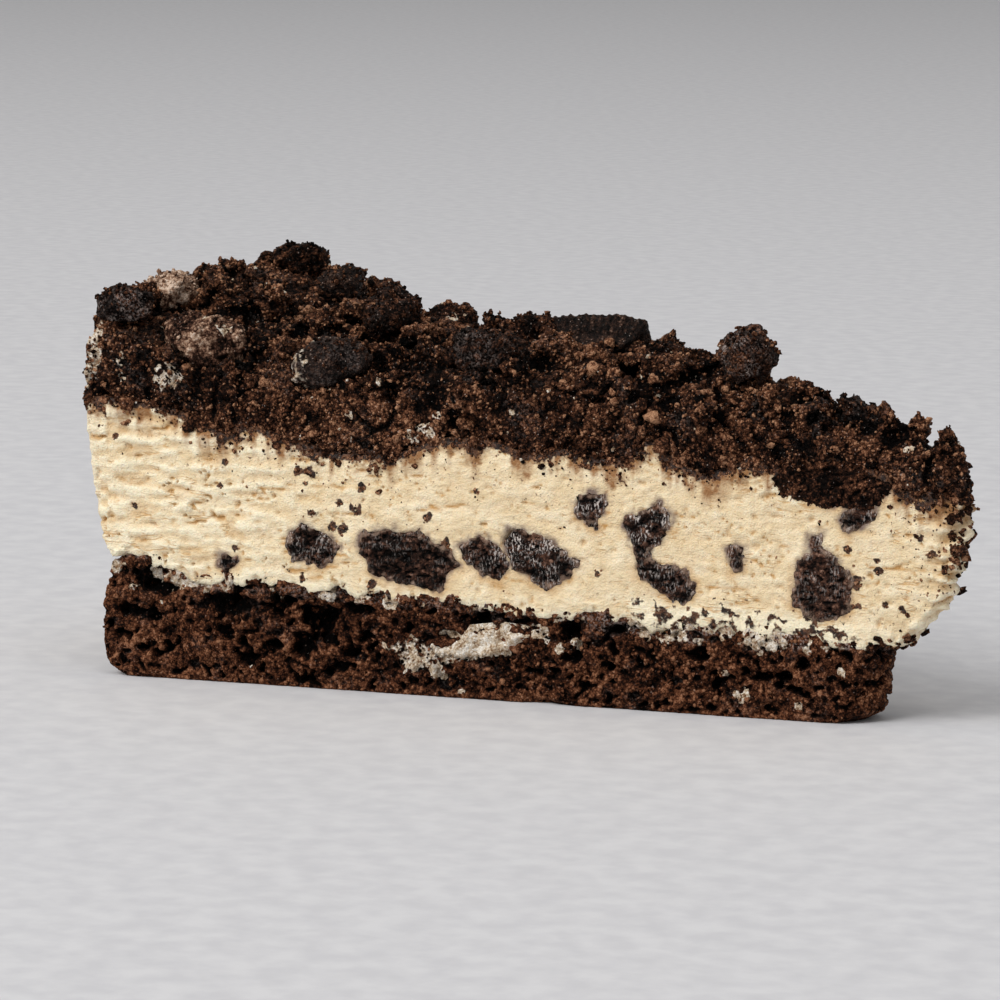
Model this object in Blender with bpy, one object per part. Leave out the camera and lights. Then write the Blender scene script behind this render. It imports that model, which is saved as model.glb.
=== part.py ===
# A slice of cookies and cream cheesecake, cut from a round cake.
# From below: a dark chocolate cake base, a cream filling with pieces of cookie cut through
# at its faces, and a heap of crushed cookie with larger lumps. +Z is up, the tip points to +X,
# the face cut at the front looks to -Y, and the origin is under the middle of the slice.

import math
import random

import bmesh
import bpy
import numpy as np
from mathutils import Euler, Matrix, Vector, noise

# Driving sizes in millimetres; the meshes are scaled to metres as they are made
MM = 0.001
SLICES_IN_A_CAKE = 12
HALF_ANGLE = math.pi / SLICES_IN_A_CAKE
CENTRE_TO_RIM = 118.0
TIP_X = 61.6
TIP_BLUNT = 1.5
TIP_ROUND = 1.0
GAP = 0.35

BASE_HEIGHT_AT_TIP = 9.6
BASE_RISE = 0.04
FILLING_HEIGHT_AT_TIP = 29.5
FILLING_RISE = 0.062
OVERHANG = 13.2
BASE_END_ROUND = 2.0
FULL_RELIEF_FROM = 35.0
RIM_REACH = 12.0

# The grid that all three layers share, so that faces which meet have the same facets
STATION_STEP = 3.4
LANES = 8
BASE_ROWS = (0.0, 0.1, 0.3, 0.65, 1.0)
FILLING_ROWS = (0.0, 0.14, 0.34, 0.56, 0.78, 1.0)
TOPPING_ROWS = (0.0, 0.5, 1.0)

# Outlines seen from the front, as (height, distance from the cake's centre)
RIM_OUTLINE = ((0.0, 115.6), (1.7, 118.1), (4.0, 118.7), (10.5, 118.6), (13.8, 116.2), (16.2, 117.8),
               (18.4, 118.9), (27.7, 120.2), (39.6, 121.5), (48.0, 121.0))
TIP_OUTLINE = ((10.7, 8.6), (12.5, 6.2), (16.0, 4.3), (22.7, 2.8), (26.0, 1.6), (36.0, 2.8))
BASE_TIP_OUTLINE = ((0.0, 16.6), (1.1, 14.6), (3.9, 13.5), (8.0, 13.2))

# The top of the crumbs along the slice, as (distance from the centre, height)
RIDGE = ((0.0, 33.3), (15.0, 36.4), (25.0, 38.6), (40.0, 41.6), (60.0, 43.9), (90.0, 43.9), (110.0, 45.8),
         (120.0, 47.4))
EDGE_FALL = 3.0
RIM_FALL = 1.8
RIM_SHOULDER = 113.0
RIM_SHOULDER_WIDTH = 7.0

# Where the crumbs are heaped up, as (distance, across, half length, half width across, rise)
HEAP_RISES = ((114.0, 0.3, 10.0, 0.42, 4.7), (116.0, -0.45, 5.0, 0.25, 2.0), (116.0, -0.85, 4.0, 0.2, 1.5),
              (34.5, 0.0, 5.0, 0.35, 2.0))

# Where crumbs were dragged down the front of the filling, as (distance, depth, half width).
# Below zero, cream was dragged up instead.
CRUMB_DRIPS = ((102.4, 2.6, 2.8), (95.4, 1.4, 2.0), (85.5, 4.2, 5.5), (77.5, 1.8, 3.0), (59.5, 1.2, 2.0),
               (48.5, 1.2, 2.4), (43.6, -3.4, 1.8), (35.5, 1.2, 2.0), (30.5, -2.6, 2.4), (20.0, 1.4, 7.0))

# Hollows in the front of the base, as (distance, height, half width, half height, depth)
BASE_HOLLOWS = ((87.2, 8.6, 3.6, 4.0, 2.2), (57.4, 0.0, 2.6, 2.2, 1.2), (108.0, 12.5, 2.6, 1.8, 1.0))

# Cookie cut through at the front face, each piece as lumps of
# (distance, height, width, height of the lump, depth, turn in degrees)
FRONT_COOKIES = {
    "cookie_01": ((89.7, 19.0, 6.7, 5.9, 7.0, 8),),
    "cookie_02": ((76.2, 17.7, 13.4, 7.6, 9.0, -10),),
    "cookie_03": ((66.1, 18.3, 5.4, 5.5, 6.0, 20),),
    "cookie_04": ((57.8, 18.8, 8.2, 7.0, 8.0, -25),),
    "cookie_05": ((51.2, 25.4, 4.5, 4.6, 5.0, 0),),
    "cookie_06": ((43.5, 23.9, 6.6, 6.2, 7.0, 20), (44.6, 20.0, 3.8, 7.0, 6.2, -10),
                  (40.8, 16.4, 7.7, 5.0, 7.0, -15)),
    "cookie_07": ((31.7, 19.8, 2.2, 4.4, 4.0, 0),),
    "cookie_08": ((20.9, 17.4, 7.3, 7.6, 6.2, 0), (21.2, 21.4, 3.0, 3.6, 4.0, 0)),
    "cookie_09": ((15.9, 25.2, 4.6, 3.6, 4.5, 15),),
    "cookie_10": ((100.7, 16.5, 3.4, 2.9, 4.0, 0),),
    "cookie_11": ((19.7, 30.3, 15.7, 5.8, 7.0, -3),),
}

# How far a section stands out of the cream that the knife smeared round it
SECTION_PROUD = 0.05

# The back face isn't seen, so its pieces follow a rule: evenly spread, with a seeded shift
BACK_COOKIES = 7
BACK_FIRST = 26.0
BACK_STEP = 13.0

# Large pieces lying in the crumbs, as (distance, across from -1 to 1, height of the middle,
# length, depth, height, turn about the vertical in degrees, colour)
TOP_PIECES = {
    "lump_corner": (116.6, -0.90, 49.1, 8.5, 7.0, 5.4, 15, "cookie"),
    "lump_tan": (117.5, -0.46, 50.5, 6.6, 10.5, 5.0, 0, "tan"),
    "lump_pale": (105.0, -0.90, 44.4, 11.5, 6.5, 7.7, -10, "tan"),
    "lump_cream_end": (87.6, -0.90, 42.6, 12.1, 6.6, 7.1, -6, "cookie"),
    "lump_middle": (87.0, -0.15, 47.3, 7.9, 7.6, 7.7, 30, "cookie"),
    "lump_back": (104.0, 0.30, 49.4, 7.0, 7.2, 5.6, 25, "cookie"),
    "lump_peak": (114.0, 0.42, 51.6, 9.0, 8.0, 5.6, -20, "cookie"),
    "lump_front": (67.6, -0.66, 44.4, 10.3, 7.0, 6.6, 5, "cookie"),
    "lump_lone": (34.5, -0.02, 45.2, 8.9, 7.4, 7.0, 40, "cookie"),
    "lump_far": (93.0, 0.72, 44.6, 9.2, 7.0, 6.0, 50, "cookie"),
    "lump_inner": (73.0, 0.45, 45.4, 7.2, 8.0, 5.4, -35, "cookie"),
    "lump_tip": (47.0, 0.10, 43.4, 7.4, 6.4, 5.2, 10, "cookie"),
}

# A broken piece of a round wafer, standing tilted in the crumbs
WAFER_RADIUS = 22.0
WAFER_THICK = 4.0
WAFER_SPREAD = math.radians(17)
WAFER_DEPTH = 7.5
WAFER_AT = (61.0, 0.42, 48.4)
WAFER_LEAN = math.radians(48)
WAFER_TURN = math.radians(18)

# A streak of cream baked into the front of the base
STREAK = (66.0, 7.6, 13.2, 3.8, 4.0, 8)

# Smaller lumps fused to the crumbs where the photo shows them: distance, across, height, size
SEEN_LUMPS = ((86.0, 0.95, 46.4, 3.0), (83.0, 0.97, 46.0, 3.2), (20.0, 0.3, 39.3, 4.0),
              (14.5, 0.0, 38.2, 4.2), (10.8, 0.3, 37.0, 3.0), (5.8, 0.0, 36.4, 3.8),
              (94.0, -0.1, 47.2, 4.6), (50.5, -0.7, 42.2, 4.4), (39.5, 0.3, 43.2, 4.2),
              (25.5, 0.3, 41.0, 3.6), (118.0, 0.6, 49.4, 4.4), (104.0, -0.35, 48.4, 5.0))
TOP_LUMPS = 48
SIDE_LUMPS = 22
TOP_LUMP_SIZES = (3.2, 6.2)
SIDE_LUMP_SIZES = (2.2, 3.6)
TRIALS = 6
FINE_FROM = 6.5

COLOURS = {
    "base": (46, 28, 20),
    "filling": (226, 203, 166),
    "cookie": (44, 31, 27),
    "crumbs": (54, 36, 29),
    "tan": (122, 95, 76),
    "cream": (222, 208, 192),
}
ROUGHNESS = {"base": 0.85, "filling": 0.5, "cookie": 0.7, "crumbs": 0.85, "tan": 0.75, "cream": 0.55}


def linear(level):
    """A colour level from 0 to 255, as the linear value that a shader takes."""
    share = level / 255
    return share / 12.92 if share <= 0.04045 else ((share + 0.055) / 1.055) ** 2.4


def finish(obj, colour):
    """Gives a node its own material."""
    material = bpy.data.materials.new(obj.name + "_finish")
    material.use_nodes = True
    shader = material.node_tree.nodes["Principled BSDF"]
    shader.inputs["Base Color"].default_value = [linear(level) for level in COLOURS[colour]] + [1.0]
    shader.inputs["Roughness"].default_value = ROUGHNESS[colour]
    shader.inputs["Metallic"].default_value = 0.0
    obj.data.materials.clear()
    obj.data.materials.append(material)


def reading(outline, at):
    """The value of an outline of (position, value) points, with straight runs between them."""
    return float(np.interp(at, [point[0] for point in outline], [point[1] for point in outline]))


def hill(offset, half_width):
    return math.exp(-0.5 * (offset / half_width) ** 2)


def uneven(along, across, size, seed):
    """Noise from -1 to 1 with lumps of the given size."""
    return noise.noise(Vector((along / size, across / size, seed)))


def place(distance, across, height):
    """A point of the slice: across runs from -1 at the front cut to 1 at the back cut."""
    angle = across * HALF_ANGLE
    half_width = math.hypot(distance * math.sin(HALF_ANGLE), TIP_BLUNT)
    return Vector((TIP_X - distance * math.cos(angle),
                   half_width * math.sin(angle) / math.sin(HALF_ANGLE), height))


# Heights where the layers meet, and the top of the heap

def base_top(distance, across):
    height = BASE_HEIGHT_AT_TIP + BASE_RISE * distance
    height += 0.5 * uneven(distance, 18 * across, 9.0, 3.1)
    near_front = hill(across + 1, 0.45)
    return height + near_front * (1.8 * hill(distance - 114, 3.6) - 0.9 * hill(distance - 107, 2.8))


def filling_top(distance, across):
    height = FILLING_HEIGHT_AT_TIP + FILLING_RISE * distance
    height += 0.9 * uneven(distance, 18 * across, 8.0, 7.7)
    near_front = hill(across + 1, 0.35)
    for at, depth, half_width in CRUMB_DRIPS:
        height -= near_front * depth * hill(distance - at, half_width)
    near_back = hill(across - 1, 0.35)
    return height - near_back * 1.6 * abs(uneven(distance, 0, 6.0, 12.4))


def heap_top(distance, across):
    height = reading(RIDGE, distance)
    for at, level, half_length, half_width, rise in HEAP_RISES:
        height += rise * hill(distance - at, half_length) * hill(across - level, half_width)
    height -= EDGE_FALL * abs(across) ** 5
    height -= RIM_FALL * max(0.0, (distance - RIM_SHOULDER) / RIM_SHOULDER_WIDTH) ** 2
    height += 1.5 * uneven(distance, 30 * across, 8.0, 1.3)
    return height + 0.9 * uneven(distance, 30 * across, 4.0, 5.9)


# Relief of the cut faces and of the rim

def face_relief(distance, across, height):
    """How far a cut face stands out from its plane."""
    side = 20.0 if across < 0 else 40.0
    relief = 0.35 * uneven(distance, 2.2 * height, 5.0, side) + 0.15 * uneven(distance, height, 2.4, side)
    if height > filling_top(distance, across):
        relief += 0.8 * uneven(distance, height, 4.5, side + 5)
    if across < 0:
        for at, level, half_width, half_height, depth in BASE_HOLLOWS:
            relief -= depth * hill(distance - at, half_width / 2) * hill(height - level, half_height / 2)
    return relief * min(1.0, distance / FULL_RELIEF_FROM)


def skin(station, across, height):
    """The point of a layer's skin that belongs to a station of the shared grid."""
    near_tip = max(0.0, 1 - station / OVERHANG)
    near_rim = max(0.0, 1 - (CENTRE_TO_RIM - station) / RIM_REACH)
    distance = station + near_tip * reading(TIP_OUTLINE, height)
    distance += near_rim * (reading(RIM_OUTLINE, height) - CENTRE_TO_RIM)
    if station == CENTRE_TO_RIM:
        distance += 0.4 * uneven(30 * across, 1.6 * height, 6.0, 60.0)
    if station == 0.0:
        distance += TIP_ROUND * across ** 2 + 0.5 * uneven(8 * across, height, 4.0, 80.0)
    point = place(distance, across, height)
    if abs(across) == 1.0:
        point.y += across * face_relief(distance, across, height)
    return point


def base_skin(station, across, share):
    height = share * base_top(station, across)
    point = skin(station, across, height)
    near_end = max(0.0, 1 - (station - OVERHANG) / 8)
    point.x -= near_end * (reading(BASE_TIP_OUTLINE, height) - OVERHANG)
    if station == OVERHANG:
        point.x -= BASE_END_ROUND * across ** 2
        point.z -= GAP * share
    return point


def filling_skin(station, across, share):
    low = base_top(station, across) + GAP
    return skin(station, across, low + share * (filling_top(station, across) - low))


def topping_skin(station, across, share):
    low = filling_top(station, across) + GAP
    return skin(station, across, low + share * (heap_top(station, across) - low))


def new_object(name, bm):
    """Turns a mesh in millimetres into an object in metres."""
    bmesh.ops.recalc_face_normals(bm, faces=bm.faces)
    bmesh.ops.scale(bm, vec=(MM, MM, MM), verts=bm.verts)
    mesh = bpy.data.meshes.new(name)
    bm.to_mesh(mesh)
    bm.free()
    obj = bpy.data.objects.new(name, mesh)
    bpy.context.scene.collection.objects.link(obj)
    return obj


def block(name, stations, rows, spot):
    """A closed block: the skin of a grid of stations along, lanes across and rows up."""
    bm = bmesh.new()
    ends = (len(stations) - 1, LANES, len(rows) - 1)
    corners = {}

    def corner(cell):
        if cell not in corners:
            i, j, k = cell
            corners[cell] = bm.verts.new(spot(stations[i], 2 * j / LANES - 1, rows[k]))
        return corners[cell]

    for flat in range(3):
        one, two = [axis for axis in range(3) if axis != flat]
        for level in (0, ends[flat]):
            for a in range(ends[one]):
                for b in range(ends[two]):
                    loop = []
                    for step_a, step_b in ((0, 0), (1, 0), (1, 1), (0, 1)):
                        cell = [0, 0, 0]
                        cell[flat], cell[one], cell[two] = level, a + step_a, b + step_b
                        loop.append(corner(tuple(cell)))
                    bm.faces.new(loop[:3])
                    bm.faces.new((loop[0], loop[2], loop[3]))
    return new_object(name, bm)


def grid_stations(first):
    """Even steps from the first station to the rim."""
    steps = round((CENTRE_TO_RIM - OVERHANG) / STATION_STEP)
    along = [OVERHANG + (CENTRE_TO_RIM - OVERHANG) * step / steps for step in range(steps + 1)]
    lead = [OVERHANG * step / 4 for step in range(4)]
    return [station for station in lead + along if station >= first]


# Rough pieces of cookie

def rough_piece(size, turn, at, seed, fine=True, boxy=0.45, rough=0.22):
    """A broken lump with flattish sides, turned and set at a point."""
    bm = bmesh.new()
    bmesh.ops.create_icosphere(bm, subdivisions=2 if fine else 1, radius=1.0)
    for vert in bm.verts:
        way = vert.co.normalized()
        reach = (1 / max(abs(way.x), abs(way.y), abs(way.z))) ** boxy
        reach *= 1 + rough * noise.noise(way * 1.6 + Vector((seed, 0.37 * seed, 0)))
        vert.co = way * reach
    reached = [max(abs(vert.co[axis]) for vert in bm.verts) for axis in range(3)]
    bmesh.ops.scale(bm, vec=[0.5 * width / far for width, far in zip(size, reached)], verts=bm.verts)
    bmesh.ops.transform(bm, matrix=Matrix.Translation(at) @ turn.to_4x4(), verts=bm.verts)
    bmesh.ops.recalc_face_normals(bm, faces=bm.faces)
    return bm


def grown(bm, by):
    """A copy of a mesh with its surface moved out."""
    copy = bm.copy()
    copy.normal_update()
    moves = [(vert, vert.normal * by) for vert in copy.verts]
    for vert, move in moves:
        vert.co += move
    return copy


def cut_flush(bm, point, outward):
    """Cuts off what stands past a face of the slice and closes the section."""
    everything = bm.verts[:] + bm.edges[:] + bm.faces[:]
    cut = bmesh.ops.bisect_plane(bm, geom=everything, plane_co=point, plane_no=outward, clear_outer=True)
    edges = [item for item in cut["geom_cut"] if isinstance(item, bmesh.types.BMEdge)]
    if edges:
        bmesh.ops.contextual_create(bm, geom=edges)


def face_frame(distance, side, height):
    """A point of a cut face, with the directions along the face and out of it."""
    point = place(distance, side, height)
    along = (place(distance + 1, side, height) - place(distance - 1, side, height)).normalized()
    return point, along, side * Vector((along.y, -along.x, 0))


def join(target, pieces, operation, solver="EXACT"):
    """Fuses pieces to the target or cuts them out of it, and leaves one closed body."""
    group = bpy.data.collections.new(target.name + "_" + operation.lower())
    bpy.context.scene.collection.children.link(group)
    for piece in pieces:
        bpy.context.scene.collection.objects.unlink(piece)
        group.objects.link(piece)
    boolean = target.modifiers.new("join", "BOOLEAN")
    boolean.operation = operation
    boolean.solver = solver
    boolean.operand_type = "COLLECTION"
    boolean.collection = group
    evaluated = target.evaluated_get(bpy.context.evaluated_depsgraph_get())
    joined = bpy.data.meshes.new_from_object(evaluated)
    target.modifiers.remove(boolean)
    old = target.data
    target.data = joined
    bpy.data.meshes.remove(old)
    for piece in pieces:
        bpy.data.objects.remove(piece)
    bpy.data.collections.remove(group)
    keep_largest_body(target)


def keep_largest_body(obj):
    """Drops loose scraps and sealed hollows that a Boolean leaves."""
    bm = bmesh.new()
    bm.from_mesh(obj.data)
    bodies = []
    waiting = set(bm.faces)
    while waiting:
        body = set()
        edge_of_search = [waiting.pop()]
        while edge_of_search:
            face = edge_of_search.pop()
            body.add(face)
            for other in {other for edge in face.edges for other in edge.link_faces}:
                if other in waiting:
                    waiting.remove(other)
                    edge_of_search.append(other)
        bodies.append(body)
    largest = max(bodies, key=len)
    bmesh.ops.delete(bm, geom=[face for face in bm.faces if face not in largest], context="FACES")
    bm.to_mesh(obj.data)
    bm.free()


class Pockets:
    """Collects the grown copies of pieces that are cut out of a layer."""

    def __init__(self, host):
        self.host = host
        self.cutters = []

    def add(self, bm):
        name = f"{self.host.name}_pocket_{len(self.cutters):02d}"
        self.cutters.append(new_object(name, grown(bm, GAP)))

    def cut(self):
        join(self.host, self.cutters, "DIFFERENCE")


# Cookie cut through at a face

def cookie_section(name, lumps, side, seed, pockets):
    """One piece of cookie in a cut face, made of one or more lumps and cut flush with it."""
    made = []
    for number, (distance, height, wide, tall, deep, turn) in enumerate(lumps):
        point, along, outward = face_frame(distance, side, height)
        basis = Matrix((along, outward, Vector((0, 0, 1)))).transposed()
        turned = basis @ Euler((0, math.radians(turn), 0)).to_matrix()
        bm = rough_piece((wide, deep, tall), turned, point, seed + number, fine=wide > FINE_FROM)
        for host in pockets:
            host.add(bm)
        cut_flush(bm, point + SECTION_PROUD * outward, outward)
        made.append(new_object(f"{name}_{number}" if number else name, bm))
    if len(made) > 1:
        join(made[0], made[1:], "UNION")
    finish(made[0], "cookie")


def back_cookies():
    """The sections of the unseen face, in the sizes and heights that the front face shows."""
    draw = random.Random(24)
    pieces = {}
    for number in range(BACK_COOKIES):
        distance = BACK_FIRST + BACK_STEP * number + draw.uniform(-2.0, 2.0)
        wide = draw.uniform(4.5, 9.5)
        tall = draw.uniform(4.0, 6.5)
        height = draw.uniform(18.0, 20.0) if number % 3 else draw.uniform(24.0, 25.5)
        lump = (distance, height, wide, tall, 0.8 * wide, draw.uniform(-25, 25))
        pieces[f"cookie_back_{number + 1:02d}"] = (lump,)
    return pieces


# Pieces lying in the crumbs

def top_piece(name, seed, pockets):
    distance, across, height, long, deep, tall, turn, colour = TOP_PIECES[name]
    angle = across * HALF_ANGLE + math.radians(turn)
    tilt = Euler((math.radians(12) * math.sin(seed), math.radians(10) * math.cos(2 * seed), -angle))
    bm = rough_piece((long, deep, tall), tilt.to_matrix(), place(distance, across, height), seed, rough=0.3)
    pockets.add(bm)
    finish(new_object(name, bm), colour)


def wafer_piece(pockets):
    """A sector of a round wafer: its rim is the arc, and the rest is broken."""
    arc_points = 6
    outline = []
    for step in range(arc_points + 1):
        angle = WAFER_SPREAD * (2 * step / arc_points - 1)
        outline.append((WAFER_RADIUS * math.sin(angle), WAFER_RADIUS * (math.cos(angle) - 1)))
    outline += [(4.6, -0.62 * WAFER_DEPTH), (1.2, -WAFER_DEPTH), (-4.0, -0.8 * WAFER_DEPTH)]
    bm = bmesh.new()
    ring = [bm.verts.new((x, 0, z)) for x, z in outline]
    face = bm.faces.new(ring)
    thick = bmesh.ops.extrude_face_region(bm, geom=[face])
    moved = [item for item in thick["geom"] if isinstance(item, bmesh.types.BMVert)]
    bmesh.ops.translate(bm, vec=(0, WAFER_THICK, 0), verts=moved)
    lean = Matrix.Rotation(WAFER_TURN, 4, "Z") @ Matrix.Rotation(-WAFER_LEAN, 4, "X")
    bmesh.ops.transform(bm, matrix=Matrix.Translation(place(*WAFER_AT)) @ lean, verts=bm.verts)
    bmesh.ops.recalc_face_normals(bm, faces=bm.faces)
    pockets.add(bm)
    finish(new_object("wafer_ridged", bm), "cookie")


def farthest(candidates, taken):
    """The candidate with the most room round it, so that random places spread evenly."""
    return max(candidates, key=lambda spot: min((spot - other).length for other in taken))


def crumb_lumps():
    """Lumps of crushed cookie that are fused to the heap."""
    draw = random.Random(7)
    spots = list(SEEN_LUMPS)
    taken = [place(*spot[:2], 0) for spot in (*SEEN_LUMPS, *TOP_PIECES.values())]
    for number in range(TOP_LUMPS):
        choices = {}
        for trial in range(TRIALS):
            distance = 4 + 113 * math.sqrt(draw.random())
            across = draw.uniform(-0.96, 0.96)
            choices[place(distance, across, 0).freeze()] = (distance, across)
        best = farthest(choices, taken)
        taken.append(best)
        distance, across = choices[best]
        size = draw.uniform(*TOP_LUMP_SIZES)
        spots.append((distance, across, heap_top(distance, across) + 0.04 * size, size))
    while len(spots) < len(SEEN_LUMPS) + TOP_LUMPS + SIDE_LUMPS:
        edge = draw.random()
        size = draw.uniform(*SIDE_LUMP_SIZES)
        distance = CENTRE_TO_RIM - 0.2 if edge < 0.3 else draw.uniform(3, 115)
        across = draw.uniform(-0.9, 0.9) if edge < 0.3 else math.copysign(0.99, draw.random() - 0.4)
        low = filling_top(distance, across) + 0.65 * size + 1.0
        spots.append((distance, across, draw.uniform(low, heap_top(distance, across) - 0.5), size))
    lumps = []
    for number, (distance, across, height, size) in enumerate(spots):
        turn = Euler([draw.uniform(0, math.pi) for axis in range(3)]).to_matrix()
        sizes = [size * draw.uniform(0.85, 1.2) for axis in range(3)]
        low = filling_top(distance, across) + 0.65 * size + GAP + 0.3
        at = place(distance, across, max(height, low))
        lumps.append(new_object(f"crumb_{number:03d}", rough_piece(sizes, turn, at, number, fine=False)))
    return lumps


def build():
    for obj in list(bpy.data.objects):
        bpy.data.objects.remove(obj)

    base = block("base_cake", grid_stations(OVERHANG), BASE_ROWS, base_skin)
    filling = block("filling", grid_stations(0.0), FILLING_ROWS, filling_skin)
    topping = block("crumb_topping", grid_stations(0.0), TOPPING_ROWS, topping_skin)
    join(topping, crumb_lumps(), "UNION")

    in_base, in_filling, in_topping = Pockets(base), Pockets(filling), Pockets(topping)
    for number, (name, lumps) in enumerate(FRONT_COOKIES.items()):
        hosts = [in_filling, in_topping] if name == "cookie_11" else [in_filling]
        cookie_section(name, lumps, -1, 3.3 * number, hosts)
    for number, (name, lumps) in enumerate(back_cookies().items()):
        cookie_section(name, lumps, 1, 50 + 2.7 * number, [in_filling])
    cookie_section("cream_streak", (STREAK,), -1, 9.5, [in_base])
    finish(bpy.data.objects["cream_streak"], "cream")
    for number, name in enumerate(TOP_PIECES):
        top_piece(name, 5 + 1.9 * number, in_topping)
    wafer_piece(in_topping)
    for pockets in (in_base, in_filling, in_topping):
        pockets.cut()

    finish(base, "base")
    finish(filling, "filling")
    finish(topping, "crumbs")


build()
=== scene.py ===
# The looks of a slice of cookies and cream cheesecake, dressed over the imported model.
# Each layer and lump is remeshed finely from its own node, carved with relief, and strewn with
# loose crumbs. Lengths in this script are in millimetres; meshes are written in metres.

import math
from typing import NamedTuple

import bmesh
import bpy
import numpy as np
from mathutils import Matrix, Quaternion, Vector, kdtree, noise
from mathutils.bvhtree import BVHTree


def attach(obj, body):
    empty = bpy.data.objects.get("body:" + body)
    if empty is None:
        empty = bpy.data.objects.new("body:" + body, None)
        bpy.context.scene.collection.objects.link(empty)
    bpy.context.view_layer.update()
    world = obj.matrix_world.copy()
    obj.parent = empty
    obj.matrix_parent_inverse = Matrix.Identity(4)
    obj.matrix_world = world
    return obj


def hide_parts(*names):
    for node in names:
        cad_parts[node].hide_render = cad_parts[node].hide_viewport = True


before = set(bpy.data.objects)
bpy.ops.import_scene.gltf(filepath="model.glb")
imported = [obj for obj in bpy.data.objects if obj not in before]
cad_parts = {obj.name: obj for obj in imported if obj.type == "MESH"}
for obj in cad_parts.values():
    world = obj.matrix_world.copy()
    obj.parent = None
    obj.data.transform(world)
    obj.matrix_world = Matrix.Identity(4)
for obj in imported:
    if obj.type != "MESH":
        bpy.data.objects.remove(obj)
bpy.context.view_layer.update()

# Without a seed, the noise vectors that bend the pebbles would differ from run to run
noise.seed_set(7)

MM = 0.001
HALF_ANGLE = math.pi / 12
CAKE_CENTRE_X = 61.6
CENTRE_TO_RIM = 118.0

# The camera, set as the photo was taken
CAMERA_AZIMUTH = math.radians(33)
CAMERA_PITCH = math.radians(8.1)
CAMERA_ROLL = math.radians(0.5)
CAMERA_DISTANCE = 600.0
CAMERA_TARGET = Vector((0.73, -17.17, 26.3))
CAMERA_LENS = 168.63

# Sizes of the fine meshes' cells
TOPPING_CELL = 0.4
FILLING_CELL = 0.34
BASE_CELL = 0.3
LUMP_CELL = 0.3
SECTION_CELL = 0.24
WAFER_CELL = 0.2
# The share of their faces that hidden sides keep
HIDDEN_SHARE = 0.1

# The ridged wafer's place: the middle of its rim's arc, its lean and turn, and its radius
WAFER_AT = Vector((0.97, 6.72, 48.4))
WAFER_LEAN = math.radians(48)
WAFER_TURN = math.radians(18)
WAFER_RADIUS = 22.0
WAFER_RIDGE = 1.05
WAFER_GROOVE = 18.6

OUT_OF_FRONT = np.array((math.sin(HALF_ANGLE), -math.cos(HALF_ANGLE), 0.0))
OUT_OF_BACK = np.array((math.sin(HALF_ANGLE), math.cos(HALF_ANGLE), 0.0))

# The number of the rim among the outsides, after the front and the back cut
RIM = 2
# How far apart the three outsides lie in the noise that furrows them
SIDES_APART = 40.0
# Faces this upright touch another layer or the ground
UPRIGHT = 0.85
# Rays that look for a face start this far outside it, and reach this far
RAY_START = 5.0
RAY_LENGTH = 8.0

# The layers reach this far into each other, so that no gap shows between them
LAP = 0.45


# Colours

def linear(level):
    share = level / 255
    return share / 12.92 if share <= 0.04045 else ((share + 0.055) / 1.055) ** 2.4


def colour(*levels):
    """A colour given as levels from 0 to 255, as a shader takes it."""
    return [linear(level) for level in levels] + [1.0]


# Meshes as arrays of points in millimetres

def points_of(mesh):
    flat = np.empty(3 * len(mesh.vertices), np.float32)
    mesh.vertices.foreach_get("co", flat)
    return flat.reshape(-1, 3).astype(float) / MM


def normals_of(mesh):
    flat = np.empty(3 * len(mesh.vertices), np.float32)
    mesh.vertex_normals.foreach_get("vector", flat)
    return flat.reshape(-1, 3).astype(float)


def along_face(vectors, outward):
    """The part of each vector that runs along a face."""
    return vectors - (vectors @ outward)[:, None] * outward


def move_points(mesh, points):
    mesh.vertices.foreach_set("co", (points * MM).astype(np.float32).ravel())
    mesh.update()


def paint(mesh, name, values):
    """Stores a number from 0 to 1 for each point, which the materials read."""
    attribute = mesh.attributes.get(name) or mesh.attributes.new(name, "FLOAT", "POINT")
    attribute.data.foreach_set("value", np.clip(values, 0, 1).astype(np.float32))


def painted_values(mesh, name):
    """The numbers that were painted on, or zeros."""
    values = np.zeros(len(mesh.vertices), np.float32)
    if name in mesh.attributes:
        mesh.attributes[name].data.foreach_get("value", values)
    return values


def solid_of(mesh, points):
    """A mesh that rays can be cast at, in millimetres."""
    return BVHTree.FromPolygons(points.tolist(), [list(face.vertices) for face in mesh.polygons])


def cast_inward(solid, starts, outward):
    """Where rays cast against a face meet the solid: a place for each start, or None where a ray misses."""
    inward = Vector(-outward)
    return [solid.ray_cast(start, inward, RAY_LENGTH)[0] for start in starts.tolist()]


def new_piece(name, mesh):
    obj = bpy.data.objects.new(name, mesh)
    bpy.context.scene.collection.objects.link(obj)
    return obj


def apply_modifiers(obj):
    evaluated = obj.evaluated_get(bpy.context.evaluated_depsgraph_get())
    made = bpy.data.meshes.new_from_object(evaluated)
    obj.modifiers.clear()
    old = obj.data
    obj.data = made
    bpy.data.meshes.remove(old)


def fine_copy(node, cell, smoothing, fused=()):
    """A fine, even copy of a node in place, with other meshes fused to it: object, mesh, points, normals."""
    bm = bmesh.new()
    for mesh in (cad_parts[node].data, *fused):
        bm.from_mesh(mesh)
    joined = bpy.data.meshes.new(node + "_fine")
    bm.to_mesh(joined)
    bm.free()
    obj = new_piece(node + "_fine", joined)
    remesh = obj.modifiers.new("remesh", "REMESH")
    remesh.mode = "VOXEL"
    remesh.voxel_size = cell * MM
    remesh.use_smooth_shade = True
    smooth = obj.modifiers.new("smooth", "SMOOTH")
    smooth.factor = 0.5
    smooth.iterations = smoothing
    apply_modifiers(obj)
    return obj, obj.data, points_of(obj.data), normals_of(obj.data)


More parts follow.
